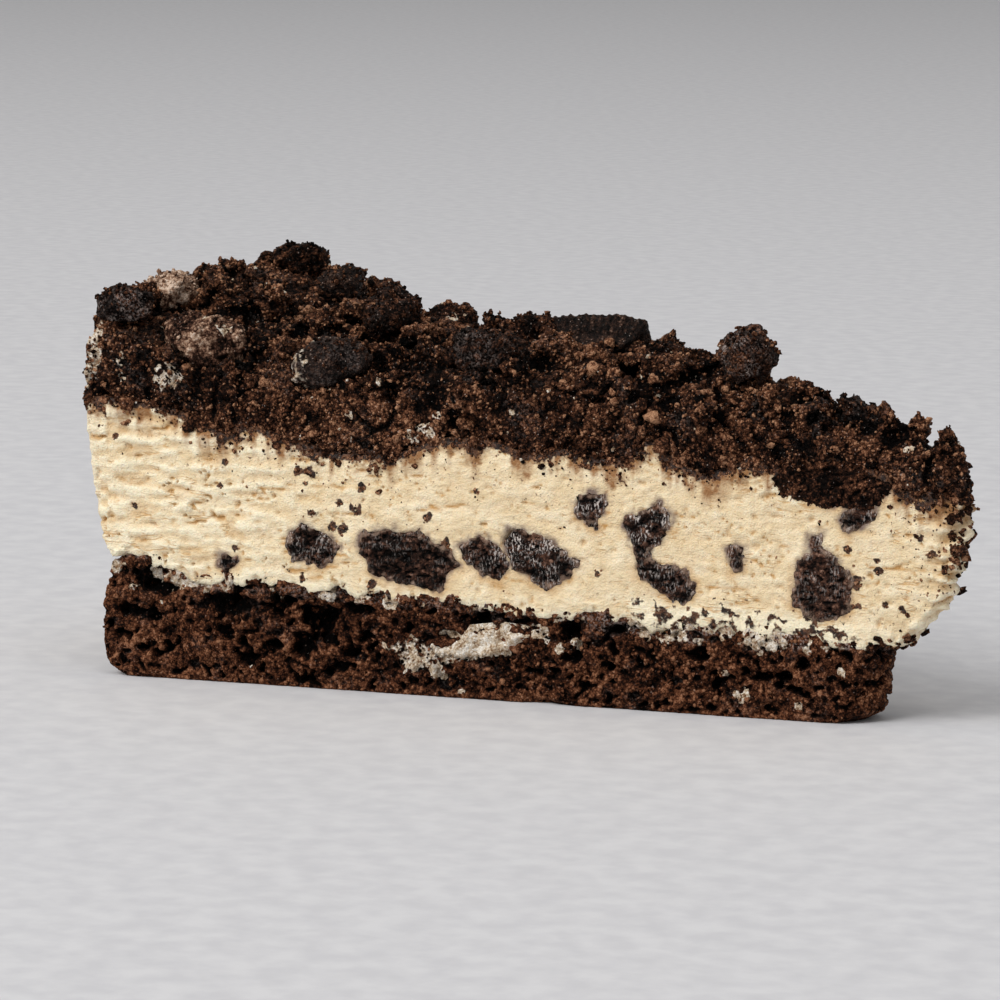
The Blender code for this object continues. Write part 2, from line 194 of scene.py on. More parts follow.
def thin_out(obj, hidden):
    """Leaves few faces where nothing shows."""
    group = obj.vertex_groups.new(name="hidden")
    group.add(np.flatnonzero(hidden).tolist(), 1.0, "REPLACE")
    decimate = obj.modifiers.new("thin", "DECIMATE")
    decimate.ratio = 1 - (1 - HIDDEN_SHARE) * float(np.mean(hidden))
    decimate.vertex_group = group.name
    apply_modifiers(obj)
    obj.vertex_groups.clear()


def hollows(mesh, points, rounds):
    """How far each point lies below the smoothed surface round it."""
    ends = np.empty(2 * len(mesh.edges), np.int32)
    mesh.edges.foreach_get("vertices", ends)
    first, second = ends.reshape(-1, 2).T
    count = np.maximum(np.bincount(ends, minlength=len(points)), 1)
    smooth = points.copy()
    for _ in range(rounds):
        columns = [np.bincount(first, smooth[second, axis], len(points))
                   + np.bincount(second, smooth[first, axis], len(points)) for axis in range(3)]
        smooth = np.stack(columns, 1) / count[:, None]
    return ((smooth - points) * normals_of(mesh)).sum(1)


def shading(pit, dark, bright):
    """Painted shade in the hollows, and painted light on the ridges, where it is below zero."""
    return dark * np.maximum(pit, 0) + bright * np.minimum(pit, 0)


# Noise

def bumps(points, size, seed):
    """Smooth noise, mostly from -0.5 to 0.5, with lumps of a size that may differ by axis."""
    rows = (points / np.asarray(size, float) + 7.31 * seed).tolist()
    return np.array([noise.noise(row) for row in rows])


def pebbles(points, size, seed):
    """Packed broken pebbles: height, from 1 at a middle to about 0 between them, and a number for each."""
    rows = [Vector(row) for row in (points / size + 7.31 * seed).tolist()]
    found = [noise.voronoi(row + 0.4 * noise.noise_vector(1.6 * row)) for row in rows]
    reach = np.array([distances[0] for distances, _ in found])
    middles = np.array([centres[0] for _, centres in found])
    lot = np.mod(np.abs(np.sin(middles @ np.array((12.99, 78.23, 37.72)))) * 437.58, 1.0)
    return 1 - (reach / 0.8) ** 2, lot


def step(values, low, high):
    """A smooth rise from 0 at low to 1 at high."""
    share = np.clip((values - low) / (high - low), 0, 1)
    return share * share * (3 - 2 * share)


# Places on the slice

def distance_of(points):
    """Distance from the cake's centre, seen from above."""
    return np.hypot(CAKE_CENTRE_X - points[:, 0], points[:, 1])


def across_of(points):
    """From -1 at the front cut to 1 at the back cut."""
    return np.arctan2(points[:, 1], CAKE_CENTRE_X - points[:, 0]) / HALF_ANGLE


def on_front(distance, height):
    """The place on the front cut at a distance from the cake's centre."""
    return np.array((CAKE_CENTRE_X - distance * math.cos(HALF_ANGLE),
                     -distance * math.sin(HALF_ANGLE), height))


def outsides(points):
    """The outside that each point is nearest to (0 front, 1 back, 2 rim), the way along it, and depth."""
    distance, across = distance_of(points), across_of(points)
    depths = np.stack(((1 + across) * HALF_ANGLE * distance, (1 - across) * HALF_ANGLE * distance,
                       CENTRE_TO_RIM - distance))
    side = depths.argmin(0)
    along = np.where(side == RIM, CENTRE_TO_RIM * HALF_ANGLE * (1 + across), distance)
    return side, along, depths.min(0)


def near_outside(points):
    """1 at an outside of the slice, and 0 deeper in."""
    return step(outsides(points)[2], 3.5, 0.5)


def depth_inside(along, up, outline):
    """How far each place lies inside a closed outline; below zero outside it."""
    inside = np.zeros(len(along), bool)
    nearest_edge = np.full(len(along), np.inf)
    for (x0, y0), (x1, y1) in zip(outline, outline[1:] + outline[:1]):
        crosses = (y0 > up) != (y1 > up)
        inside ^= crosses & (along < (x1 - x0) * (up - y0) / (y1 - y0 + 1e-9) + x0)
        share = ((along - x0) * (x1 - x0) + (up - y0) * (y1 - y0)) / ((x1 - x0) ** 2 + (y1 - y0) ** 2)
        share = np.clip(share, 0, 1)
        away = np.hypot(along - x0 - share * (x1 - x0), up - y0 - share * (y1 - y0))
        nearest_edge = np.minimum(nearest_edge, away)
    return np.where(inside, nearest_edge, -nearest_edge)


def face_shares(points, normals):
    """How far each point faces out of the front cut, the back cut and the rim, from 0 to 1."""
    outward = points[:, :2] - np.array((CAKE_CENTRE_X, 0.0))
    outward /= np.linalg.norm(outward, axis=1)[:, None]
    rim = np.clip((normals[:, :2] * outward).sum(1), 0, 1)
    return np.clip(normals @ OUT_OF_FRONT, 0, 1), np.clip(normals @ OUT_OF_BACK, 0, 1), rim


def unrolled(points):
    """Places as (along, height, side), for relief that runs level along the faces."""
    side, along, depth = outsides(points)
    return np.column_stack((along, points[:, 2], depth + SIDES_APART * side))


class Skyline:
    """The lowest height of a layer along each outside, from its points near that side."""

    BIN = 0.6
    BINS = 230
    NEAR = 1.6
    UNKNOWN = 99.0
    BLUR = 5

    def __init__(self, points):
        side, along, depth = outsides(points)
        near = depth < self.NEAR
        self.lows = np.full((3, self.BINS), self.UNKNOWN)
        slots = self.slots(along)
        np.minimum.at(self.lows, (side[near], slots[near]), points[near, 2])
        margin = self.BLUR // 2
        for row in self.lows:
            known = np.flatnonzero(row < self.UNKNOWN)
            filled = np.interp(np.arange(-margin, self.BINS + margin), known, row[known])
            row[:] = np.convolve(filled, np.full(self.BLUR, 1 / self.BLUR), "valid")

    def slots(self, along):
        return np.clip((along / self.BIN).astype(int), 0, self.BINS - 1)

    def above(self, points):
        """How far each point lies under the layer."""
        side, along, _ = outsides(points)
        return self.lows[side, self.slots(along)] - points[:, 2]


# Materials

def feed(tree, node, inputs):
    """Links a node's inputs to other nodes' sockets, or sets them to plain values."""
    for name, value in inputs.items():
        if isinstance(value, bpy.types.NodeSocket):
            tree.links.new(value, node.inputs[name])
        else:
            node.inputs[name].default_value = value


def add_node(tree, kind, inputs=None, **settings):
    made = tree.nodes.new(kind)
    for name, value in settings.items():
        setattr(made, name, value)
    feed(tree, made, inputs or {})
    return made


def add_ramp(tree, factor, stops):
    """A colour ramp whose stops are (position, (red, green, blue))."""
    ramp = add_node(tree, "ShaderNodeValToRGB", {"Fac": factor})
    elements = ramp.color_ramp.elements
    while len(elements) < len(stops):
        elements.new(0.5)
    for element, (position, levels) in zip(elements, stops):
        element.position = position
        element.color = colour(*levels)
    return ramp.outputs["Color"]


def add_place(tree, size, stretch):
    place = add_node(tree, "ShaderNodeTexCoord").outputs["Object"]
    scale = [1 / (size * MM * part) for part in stretch]
    return add_node(tree, "ShaderNodeMapping", {"Vector": place, "Scale": scale}).outputs["Vector"]


def add_noise(tree, size, detail=4.0, stretch=(1, 1, 1)):
    """Noise from 0 to 1 whose lumps have a size in millimetres, stretched along the axes."""
    texture = add_node(tree, "ShaderNodeTexNoise",
                       {"Vector": add_place(tree, size, stretch), "Scale": 1.0, "Detail": detail})
    return texture.outputs["Fac"]


def add_grain(tree, size):
    """Packed broken grains: distance from each grain's middle, and a random number for each grain."""
    place = add_place(tree, size, (1, 1, 1))
    wander = add_node(tree, "ShaderNodeTexNoise", {"Vector": place, "Scale": 1.4, "Detail": 2.0})
    bent = add_node(tree, "ShaderNodeVectorMath", {0: wander.outputs["Color"], 1: (1.6, 1.6, 1.6), 2: place},
                    operation="MULTIPLY_ADD")
    texture = add_node(tree, "ShaderNodeTexVoronoi", {"Vector": bent.outputs[0], "Scale": 1.0})
    split = add_node(tree, "ShaderNodeSeparateColor", {"Color": texture.outputs["Color"]})
    return texture.outputs["Distance"], split.outputs["Red"]


def add_math(tree, operation, *values):
    return add_node(tree, "ShaderNodeMath", dict(enumerate(values)), operation=operation).outputs[0]


def add_product(tree, first, second):
    return add_math(tree, "MULTIPLY", first, second)


def add_sum(tree, first, second, share, centre=0.5):
    """first + share * (second - centre)."""
    return add_math(tree, "ADD", first, add_math(tree, "MULTIPLY_ADD", second, share, -share * centre))


def add_sums(tree, total, *parts):
    """The total with each part added, given as (part, share) or (part, share, centre)."""
    for part in parts:
        total = add_sum(tree, total, *part)
    return total


def add_creases(tree, size, width, stretch):
    """Thin wandering lines: 1 on a line and 0 away from it."""
    away = add_math(tree, "ABSOLUTE", add_math(tree, "SUBTRACT", add_noise(tree, size, 2.0, stretch), 0.5))
    return add_fall(tree, away, 0.0, width)


def add_mix(tree, factor, first, second):
    """From the first colour to the second one, as the factor rises from 0 to 1."""
    inputs = {"Factor": factor, 6: first, 7: second}
    return add_node(tree, "ShaderNodeMix", inputs, data_type="RGBA").outputs[2]


def add_range(tree, value, low, high, start=0.0, end=1.0):
    """Maps start..end to low..high."""
    spread = add_node(tree, "ShaderNodeMapRange",
                      {"Value": value, "From Min": start, "From Max": end, "To Min": low, "To Max": high})
    return spread.outputs["Result"]


def add_rise(tree, value, start, end):
    """From 0 at start to 1 at end."""
    return add_range(tree, value, 0.0, 1.0, start, end)


def add_fall(tree, value, start, end):
    """From 1 at start to 0 at end."""
    return add_range(tree, value, 1.0, 0.0, start, end)


def add_bump(tree, height, depth, strength=1.0):
    bump = add_node(tree, "ShaderNodeBump", {"Height": height, "Distance": depth * MM, "Strength": strength})
    return bump.outputs["Normal"]


def painted(tree, name):
    return add_node(tree, "ShaderNodeAttribute", attribute_name=name).outputs["Fac"]


def new_material(name):
    material = bpy.data.materials.new(name)
    material.use_nodes = True
    return material, material.node_tree


def finish_material(material, inputs):
    tree = material.node_tree
    feed(tree, tree.nodes["Principled BSDF"], inputs)
    return material


CRUMB_STOPS = ((0.0, (1, 0, 0)), (0.22, (14, 7, 4)), (0.42, (42, 24, 16)), (0.6, (80, 49, 33)),
               (0.8, (126, 83, 59)), (1.0, (184, 138, 106)))
CAKE_STOPS = ((0.0, (1, 0, 0)), (0.22, (16, 7, 4)), (0.42, (46, 25, 16)), (0.6, (84, 49, 32)),
              (0.8, (122, 78, 54)), (1.0, (166, 118, 88)))
CHUNK_STOPS = ((0.0, (1, 1, 0)), (0.3, (20, 12, 9)), (0.55, (47, 31, 24)), (0.75, (82, 59, 47)),
               (0.9, (118, 92, 78)), (1.0, (152, 128, 112)))
TAN_STOPS = ((0.0, (8, 4, 2)), (0.3, (66, 42, 32)), (0.5, (124, 92, 74)), (0.68, (172, 138, 114)),
             (0.85, (206, 176, 152)), (1.0, (232, 208, 188)))
CRUMBED_STOPS = ((0.1, (34, 20, 13)), (0.5, (76, 48, 32)), (1.0, (126, 86, 60)))
CREAM_STOPS = ((0.24, (138, 106, 78)), (0.48, (212, 191, 164)), (0.74, (250, 243, 232)))
FILLING_STOPS = ((0.25, (230, 205, 162)), (0.5, (241, 220, 182)), (0.75, (250, 235, 204)))
COOKIE_STOPS = ((0.0, (1, 1, 1)), (0.25, (20, 12, 9)), (0.5, (52, 34, 27)), (0.75, (98, 68, 54)),
                (1.0, (158, 124, 106)))
FLOOR_STOPS = ((0.35, (201, 201, 205)), (0.65, (211, 211, 214)))

# The first colour here is pale frost and painted sheen, and the second is painted glints; the third is
# painted light on the cream's ridges, and the next two are painted shade in its hollows and in its cracks.
FROST_AND_SHEEN = colour(160, 146, 140)
GLINT = colour(206, 194, 186)
CREAM_LIT = colour(254, 243, 214)
CREAM_SHADE = colour(200, 152, 90)
CREAM_CRACK_SHADE = colour(204, 154, 88)
CREAM_STAIN = colour(156, 110, 66)
CREAM_BY_COOKIE = colour(126, 106, 96)
PEPPER = colour(96, 58, 34)
COOKIE_EDGE = colour(146, 122, 106)
BRISTLE = colour(222, 212, 206)


def grainy_material(name, stops, grain, rough, gloss=0.06, glints=0.7):
    """Crumbly matter: tone, cream, and a pale frost that is partly painted sheen are painted on. Each grain
    has its own tone, with painted shade at its edge and painted glints on a few.
    """
    material, tree = new_material(name)
    large_reach, large_lot = add_grain(tree, grain)
    small_reach, small_lot = add_grain(tree, 0.52 * grain)
    # Tone: the painted one, a random tone per grain, and painted shade at the grain edges where the grains
    # meet
    tone = add_sums(tree, painted(tree, "tone"), (large_lot, 0.36), (small_lot, 0.32),
                    (large_reach, -0.5, 0.47), (small_reach, -0.4, 0.47))
    pale = add_ramp(tree, add_sum(tree, add_noise(tree, 1.2), small_lot, 0.4), CREAM_STOPS)
    share = add_rise(tree, add_sum(tree, painted(tree, "cream"), add_noise(tree, 0.8), 1.1), 0.42, 0.58)
    matter = add_mix(tree, share, add_ramp(tree, tone, stops), pale)
    # Pale frost, partly painted sheen, broken into speckles
    frost_and_sheen_speckle = add_rise(tree, add_sum(tree, add_noise(tree, 0.35), small_lot, 0.3), 0.48, 0.66)
    with_frost_and_sheen = add_mix(tree, add_product(tree, painted(tree, "frost_and_sheen"), frost_and_sheen_speckle), matter, FROST_AND_SHEEN)
    # Painted glints: tiny highlights put into the base colour of a few grains
    glint = add_product(tree, add_range(tree, small_lot, 0.0, glints, 0.955, 0.975),
                        add_fall(tree, small_reach, 0.15, 0.4))
    height = add_sums(tree, large_reach, (small_reach, 0.6), (add_noise(tree, 0.2), -0.9))
    return finish_material(material, {
        "Base Color": add_mix(tree, glint, with_frost_and_sheen, GLINT),
        "Roughness": add_range(tree, small_lot, rough - 0.24, rough + 0.24),
        "Normal": add_bump(tree, height, -0.5 * grain),
        "Specular IOR Level": gloss,
    })


def filling_material():
    """Cream: painted orange-brown shade in its cracks and hollows and painted light on its ridges, brown
    under the heap, grey round the cookie, and with crumbs in it.
    """
    material, tree = new_material("cream_filling")
    fine = add_noise(tree, 0.4)
    level = add_sums(tree, add_noise(tree, 3.0, stretch=(1.2, 1.2, 0.7)), (fine, 0.4),
                     (add_noise(tree, 0.5, stretch=(1.0, 1.0, 9.0)), 0.25))
    cream = add_ramp(tree, level, FILLING_STOPS)
    # Painted light on the ridges and painted shade in the hollows, both read from the painted pit
    pit = add_sum(tree, painted(tree, "pit"), fine, 0.3)
    lit = add_mix(tree, add_range(tree, pit, 0.85, 0.0, 0.0, 0.16), cream, CREAM_LIT)
    pitted = add_mix(tree, add_rise(tree, pit, 0.2, 1.0), lit, CREAM_SHADE)
    # Thin cracks, with painted shade in them
    crease = add_creases(tree, 1.2, 0.04, (4.6, 4.6, 0.8))
    crease = add_product(tree, crease, add_rise(tree, add_noise(tree, 3.2), 0.53, 0.6))
    crease = add_product(tree, crease, painted(tree, "creased"))
    tinted = add_mix(tree, add_range(tree, crease, 0.0, 0.75), pitted, CREAM_CRACK_SHADE)
    for name, tint in (("stain", CREAM_STAIN), ("halo", CREAM_BY_COOKIE)):
        share = add_rise(tree, add_sum(tree, painted(tree, name), fine, 0.5), 0.15, 1.0)
        tinted = add_mix(tree, share, tinted, tint)
    reach, lot = add_grain(tree, 0.5)
    dots = add_product(tree, add_fall(tree, reach, 0.2, 0.34), add_rise(tree, lot, 0.84, 0.9))
    dotted = add_mix(tree, add_product(tree, dots, painted(tree, "pepper")), tinted, PEPPER)
    crumb = add_rise(tree, add_sum(tree, painted(tree, "crumb"), fine, 1.2), 0.3, 0.62)
    crumb_colour = add_ramp(tree, add_sum(tree, lot, reach, -0.9, 0.4), CRUMBED_STOPS)
    grit = add_product(tree, crumb, add_fall(tree, reach, 0.0, 0.5))
    relief = add_sums(tree, add_noise(tree, 0.9, stretch=(1.2, 1.2, 0.7)), (add_noise(tree, 0.25), 0.8),
                      (crease, -0.25), (grit, 1.2, 0.0))
    return finish_material(material, {
        "Base Color": add_mix(tree, crumb, dotted, crumb_colour),
        "Roughness": add_range(tree, fine, 0.34, 0.6),
        "Normal": add_bump(tree, relief, 0.26),
        "Specular IOR Level": 0.35,
        "Subsurface Weight": 0.12,
        "Subsurface Radius": (1.0, 0.7, 0.45),
        "Subsurface Scale": 1.2 * MM,
    })


def cookie_material():
    """Cut cookie: near black and flaky, with pale bristles where the knife dragged cream over it."""
    material, tree = new_material("cut_cookie")
    reach, lot = add_grain(tree, 0.42)
    flake = add_noise(tree, 0.5, stretch=(3.0, 3.0, 0.7))
    # Tone: the painted one, a random tone per grain, painted shade at the grain edges, and flakes
    tone = add_sums(tree, painted(tree, "tone"), (lot, 0.42), (reach, -0.45, 0.45), (flake, 0.7))
    dark = add_ramp(tree, tone, COOKIE_STOPS)
    mottle = add_sum(tree, painted(tree, "fringe"), add_noise(tree, 0.4), 1.2)
    edged = add_mix(tree, add_range(tree, mottle, 0.0, 0.85, 0.3, 0.8), dark, COOKIE_EDGE)
    bristle = add_rise(tree, add_noise(tree, 0.24, stretch=(0.9, 0.9, 3.0)), 0.5, 0.64)
    share = add_product(tree, painted(tree, "bloom"), bristle)
    return finish_material(material, {
        "Base Color": add_mix(tree, share, edged, BRISTLE),
        "Roughness": add_range(tree, lot, 0.34, 0.76),
        "Normal": add_bump(tree, add_sum(tree, reach, add_noise(tree, 0.22), -0.9), -0.2),
        "Specular IOR Level": 0.06,
    })


def floor_material():
    material, tree = new_material("paper_floor")
    mottle = add_noise(tree, 4.0)
    return finish_material(material, {
        "Base Color": add_ramp(tree, mottle, FLOOR_STOPS),
        "Roughness": add_range(tree, mottle, 0.6, 0.75),
    })


# Loose crumbs

def ball(subdivisions):
    """The points and faces of a ball of width 1."""
    bm = bmesh.new()
    bmesh.ops.create_icosphere(bm, subdivisions=subdivisions, radius=0.5)
    points = np.array([vert.co for vert in bm.verts])
    faces = np.array([[vert.index for vert in face.verts] for face in bm.faces])
    bm.free()
    return points, faces


def random_turns(draw, count):
    """Rotation matrices, evenly spread over all directions."""
    quaternions = draw.normal(size=(count, 4))
    w, x, y, z = (quaternions / np.linalg.norm(quaternions, axis=1)[:, None]).T
    rows = ((1 - 2 * (y * y + z * z), 2 * (x * y - z * w), 2 * (x * z + y * w)),
            (2 * (x * y + z * w), 1 - 2 * (x * x + z * z), 2 * (y * z - x * w)),
            (2 * (x * z - y * w), 2 * (y * z + x * w), 1 - 2 * (x * x + y * y)))
    return np.transpose(np.array(rows), (2, 0, 1))


def surface_samples(mesh, draw, count, wanted):
    """Random places on a mesh where wanted(points, normals) is high, as points, normals and painted tones."""
    mesh.calc_loop_triangles()
    corners = np.empty(3 * len(mesh.loop_triangles), np.int32)
    mesh.loop_triangles.foreach_get("vertices", corners)
    corners = corners.reshape(-1, 3)
    spots = points_of(mesh)[corners]
    cross = np.cross(spots[:, 1] - spots[:, 0], spots[:, 2] - spots[:, 0])
    area = np.linalg.norm(cross, axis=1)
    normals = cross / np.maximum(area, 1e-12)[:, None]
    weight = area * wanted(spots.mean(1), normals)
    chosen = draw.choice(len(spots), size=count, p=weight / weight.sum())
    a, b = np.sqrt(draw.random(count)), draw.random(count)
    shares = np.column_stack((1 - a, a * (1 - b), a * b))
    tones = (painted_values(mesh, "tone")[corners[chosen]] * shares).sum(1)
    return (spots[chosen] * shares[:, :, None]).sum(1), normals[chosen], tones


def grains(name, middles, normals, sizes, draw, flat=1.0, subdivisions=1):
    """One mesh of small broken grains, flattened against the surface that they lie on."""
    shape, faces = ball(subdivisions)
    count = len(middles)
    if subdivisions == 1:
        jitter = draw.uniform(0.5, 1.22, size=(count, len(shape), 1))
    else:
        offsets = draw.uniform(-50, 50, size=(count, 1, 3))
        rough = bumps((2.2 * shape + offsets).reshape(-1, 3), 1.0, 0).reshape(count, -1, 1)
        fine = bumps((4.6 * shape + offsets).reshape(-1, 3), 1.0, 3).reshape(count, -1, 1)
        jitter = 1 + 0.75 * rough + 0.35 * fine
    stretch = draw.uniform(0.6, 1.35, size=(count, 1, 3))
    points = np.einsum("nij,nkj->nki", random_turns(draw, count), shape * jitter * stretch)
    points *= sizes[:, None, None]
    height = np.einsum("nki,ni->nk", points, normals)
    points -= (1 - flat) * height[:, :, None] * normals[:, None, :]
    points += middles[:, None, :]
    mesh = bpy.data.meshes.new(name)
    corners = (faces + len(shape) * np.arange(count)[:, None, None]).reshape(-1, 3)
    mesh.from_pydata((points.reshape(-1, 3) * MM).tolist(), [], corners.tolist())
    mesh.shade_smooth()
    return mesh, len(shape)


def strew(name, host, material, slot, count, widths, wanted, seed, tones, pale, sunk,
          flat=1.0, subdivisions=1):
    """Strews grains over a piece, sunk into it by a share of their width; some are pale."""
    draw = np.random.default_rng(seed)
    places, normals, under = surface_samples(host.data, draw, count, wanted)
    low, high = widths
    sizes = low * (high / low) ** (draw.random(count) ** 1.8)
    middles = places + normals * ((0.5 - sunk) * sizes * flat)[:, None]
    mesh, corners = grains(name, middles, normals, sizes, draw, flat, subdivisions)
    dark, bright = tones
    # Each grain takes up the tone painted under it, painted shade included
    tone = dark + (bright - dark) * draw.random(count) ** 1.6 + 0.8 * (under - under.mean())
    tone += 0.2 * bumps(places, 7.0, seed)
    paint(mesh, "tone", np.repeat(tone, corners))
    paint(mesh, "cream", np.repeat(draw.random(count) < pale, corners))
    return dress(new_piece(name, mesh), material, slot)


def dress(piece, material, slot, *nodes):
    piece.data.materials.clear()
    piece.data.materials.append(material)
    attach(piece, "root")
    if nodes:
        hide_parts(*nodes)
    return piece


# Spots of cream in the cake, as (distance, height, width) on the front cut
BASE_SPOTS = (
    (58.2, 9.3, 2.3), (55.3, 7.2, 1.3), (53.1, 7.9, 1.2), (31.1, 2.8, 1.6), (23.4, 2.0, 1.1),
    (33.4, 5.3, 0.9), (44.0, 10.3, 2.0), (40.9, 10.3, 2.3), (28.1, 9.8, 3.2), (26.1, 11.6, 3.0),
    (30.0, 11.8, 2.4), (22.5, 9.4, 1.3), (14.4, 10.7, 1.2), (78.0, 12.0, 2.0), (82.7, 12.6, 1.3),
    (75.0, 4.6, 3.0), (79.0, 6.4, 1.0), (72.1, 3.1, 2.2), (68.6, 1.1, 0.8), (97.7, 2.2, 0.6),
    (106.1, 13.3, 2.4), (102.6, 13.8, 1.8), (101.6, 12.4, 1.3), (56.1, 12.2, 2.6), (45.5, 11.5, 2.0),
    (35.2, 12.0, 2.6), (18.0, 6.5, 1.1), (108.4, 13.4, 2.4), (104.2, 12.9, 2.0),
)
# Hollows in the cake, carved and darkened with painted shade, as (distance, height, half width, half height)
# on the front cut
BASE_HOLLOWS = (
    (110.8, 12.0, 2.3, 0.8), (101.0, 10.4, 3.8, 1.5), (111.2, 8.2, 1.0, 0.7), (94.6, 5.4, 1.2, 0.6),
    (91.4, 4.9, 1.1, 1.0), (92.5, 11.4, 0.9, 0.6), (98.8, 5.6, 0.7, 0.6), (88.0, 9.0, 2.7, 1.7),
    (90.0, 6.0, 1.7, 1.6), (84.2, 5.1, 1.2, 0.6), (66.3, 10.3, 1.9, 1.0), (70.2, 8.4, 1.4, 0.5),
    (54.0, 9.8, 1.6, 1.1), (48.0, 10.2, 1.0, 0.6), (36.8, 7.6, 1.4, 0.8), (25.4, 5.6, 1.1, 0.7),
)
# Crumbs in the cream, as (distance, height, width) on the front cut
CREAM_SPECKS = (
    (116.8, 31.8, 0.9), (101.3, 29.3, 0.9), (101.9, 26.2, 0.8), (91.3, 28.7, 1.4), (89.8, 28.5, 1.6),
    (89.4, 30.9, 1.6), (81.0, 29.7, 0.8), (82.4, 26.8, 1.1), (83.2, 23.8, 1.3), (85.5, 24.5, 0.9),
    (89.2, 23.0, 1.1), (86.3, 21.3, 1.2), (84.9, 21.1, 1.5), (73.3, 23.4, 1.3), (114.1, 23.1, 1.2),
    (70.6, 19.9, 1.6), (90.1, 27.0, 0.8), (81.0, 14.2, 1.4), (90.6, 14.5, 1.2), (99.8, 17.9, 0.8),
    (66.6, 27.1, 1.2), (50.3, 17.5, 0.8), (21.4, 25.6, 0.8), (12.0, 25.1, 0.8), (17.6, 22.4, 1.0),
    (6.9, 22.3, 1.2), (13.7, 21.1, 0.8), (13.6, 19.8, 1.4), (16.2, 18.1, 1.6), (16.5, 15.1, 1.3),
    (12.7, 15.5, 0.9), (10.4, 15.0, 1.0), (8.1, 28.3, 1.7), (4.2, 25.1, 1.0), (8.1, 24.2, 0.8),
)
# The edges of the cookies cut through at the front, as (distance, height)
SECTION_OUTLINES = {
    "cookie_01": ((92.8, 18.6), (91.4, 20.8), (90.3, 21.5), (87.4, 20.5), (85.4, 18.6), (86.7, 16.9),
                  (88.3, 16.2), (91.5, 17.1)),
    "cookie_02": ((82.8, 19.1), (82.0, 20.6), (79.5, 21.4), (74.6, 21.3), (71.5, 19.5), (68.9, 17.4),
                  (70.6, 15.9), (71.7, 13.7), (75.2, 14.7), (80.6, 15.3)),
    "cookie_03": ((68.9, 19.9), (66.3, 21.2), (63.5, 20.2), (62.2, 17.9), (63.4, 15.5), (65.6, 16.2),
                  (68.3, 18.5)),
    "cookie_04": ((63.1, 20.5), (62.7, 22.5), (60.5, 22.4), (57.3, 21.5), (52.8, 18.5), (54.4, 16.8),
                  (56.5, 15.3), (58.3, 15.6), (61.5, 17.5)),
    "cookie_05": ((53.3, 26.2), (52.5, 27.4), (49.9, 27.4), (49.2, 26.4), (50.6, 23.2), (53.2, 24.4)),
    "cookie_06": ((46.8, 23.7), (46.5, 24.9), (43.3, 25.9), (42.3, 27.0), (40.7, 25.4), (42.0, 21.9),
                  (43.5, 20.8), (43.8, 19.8), (42.4, 18.8), (38.6, 18.4), (37.3, 16.3), (37.9, 14.9),
                  (39.2, 14.1), (43.5, 16.4), (44.9, 17.4), (45.3, 20.7)),
    "cookie_07": ((33.0, 21.3), (32.4, 21.9), (31.4, 21.6), (31.3, 19.1), (32.3, 18.6)),
    "cookie_08": ((22.5, 23.6), (21.0, 24.1), (20.9, 21.9), (19.4, 21.4), (17.2, 18.8), (17.2, 14.9),
                  (18.7, 13.3), (20.9, 12.9), (24.6, 15.0), (24.1, 19.6), (22.2, 21.9)),
    "cookie_09": ((18.7, 26.2), (15.6, 28.2), (14.0, 28.1), (14.8, 25.8), (17.6, 24.5)),
    "cookie_10": ((102.2, 17.1), (99.4, 16.2), (101.0, 14.7), (102.2, 15.3)),
}
# The streak of cream in the front of the base, as (distance, height) along its edge
STREAK_OUTLINE = (
    (79.2, 5.7), (77.6, 7.1), (75.5, 8.2), (73.5, 7.3), (71.4, 6.3), (69.4, 7.5), (67.3, 9.1),
    (63.2, 9.3), (59.9, 8.8), (61.9, 7.2), (64.6, 5.7), (68.0, 4.7), (72.8, 3.6), (75.5, 4.3),
)
# Spots of cream in the crumbs, as (x, y, z, width)
TOP_SPOTS = (
    (-51.2, -20.5, 47.4, 1.2), (-37.0, -25.5, 46.8, 1.7), (-44.2, -28.2, 39.9, 3.4),
    (-50.5, -29.9, 42.2, 1.5), (-54.8, -31.2, 39.8, 1.6), (-48.3, -14.4, 49.3, 1.3),
    (-40.2, -25.4, 47.9, 1.0), (-51.9, -6.8, 52.5, 1.3), (-15.7, -19.7, 41.8, 1.9),
    (-15.8, -20.8, 40.4, 1.1), (-23.5, -22.7, 36.3, 0.9), (-25.9, -23.7, 33.4, 0.9),
    (-19.5, -21.8, 36.0, 1.1), (-19.9, -21.9, 35.3, 0.9), (-19.5, -21.8, 33.5, 1.2),
    (-9.6, -18.9, 34.9, 2.2), (-11.5, -19.7, 33.7, 1.8), (-7.8, -18.6, 36.8, 1.4),
    (-27.5, 14.6, 45.6, 2.2), (1.5, -16.3, 37.6, 1.4), (3.3, -14.8, 43.0, 0.9), (15.5, -7.9, 42.5, 0.9),
    (8.9, -14.0, 37.4, 1.0), (19.1, -8.8, 40.4, 1.0), (51.3, -1.4, 35.3, 1.3), (-50.9, -30.1, 39.6, 1.4),
)
# How far the heap rises or sinks from its node's shape, as (x, y, rise, reach)
HEAP_CHANGES = (
    (-52.7, -9.6, -1.2, 2.6), (-55.1, 9.8, 3.0, 1.8), (-54.9, 4.8, 0.9, 2.0), (-48.3, 19.3, -1.9, 2.2),
    (-44.0, 17.5, -1.2, 2.6), (-46.6, 16.6, -1.5, 1.8), (-41.6, 14.9, -1.0, 1.8),
    (-46.0, 26.0, -1.2, 2.0), (15.9, 9.4, -1.2, 2.2), (30.4, 4.9, 2.3, 1.7), (35.6, 2.6, -2.6, 2.4),
    (57.4, 1.0, 1.0, 1.4),
)
# Lumps that stand out against the sky, as (x, y, z, width)
SKYLINE_LUMPS = (
    (-53.6, -1.4, 51.3, 3.8), (-52.7, -4.4, 51.7, 2.6), (-9.8, -3.0, 47.3, 4.0), (41.4, 1.4, 39.5, 3.6),
    (44.8, 0.6, 39.2, 3.8), (47.8, -0.8, 38.2, 3.8), (51.6, 0.5, 37.0, 3.0), (55.4, 0.5, 35.8, 3.6),
)
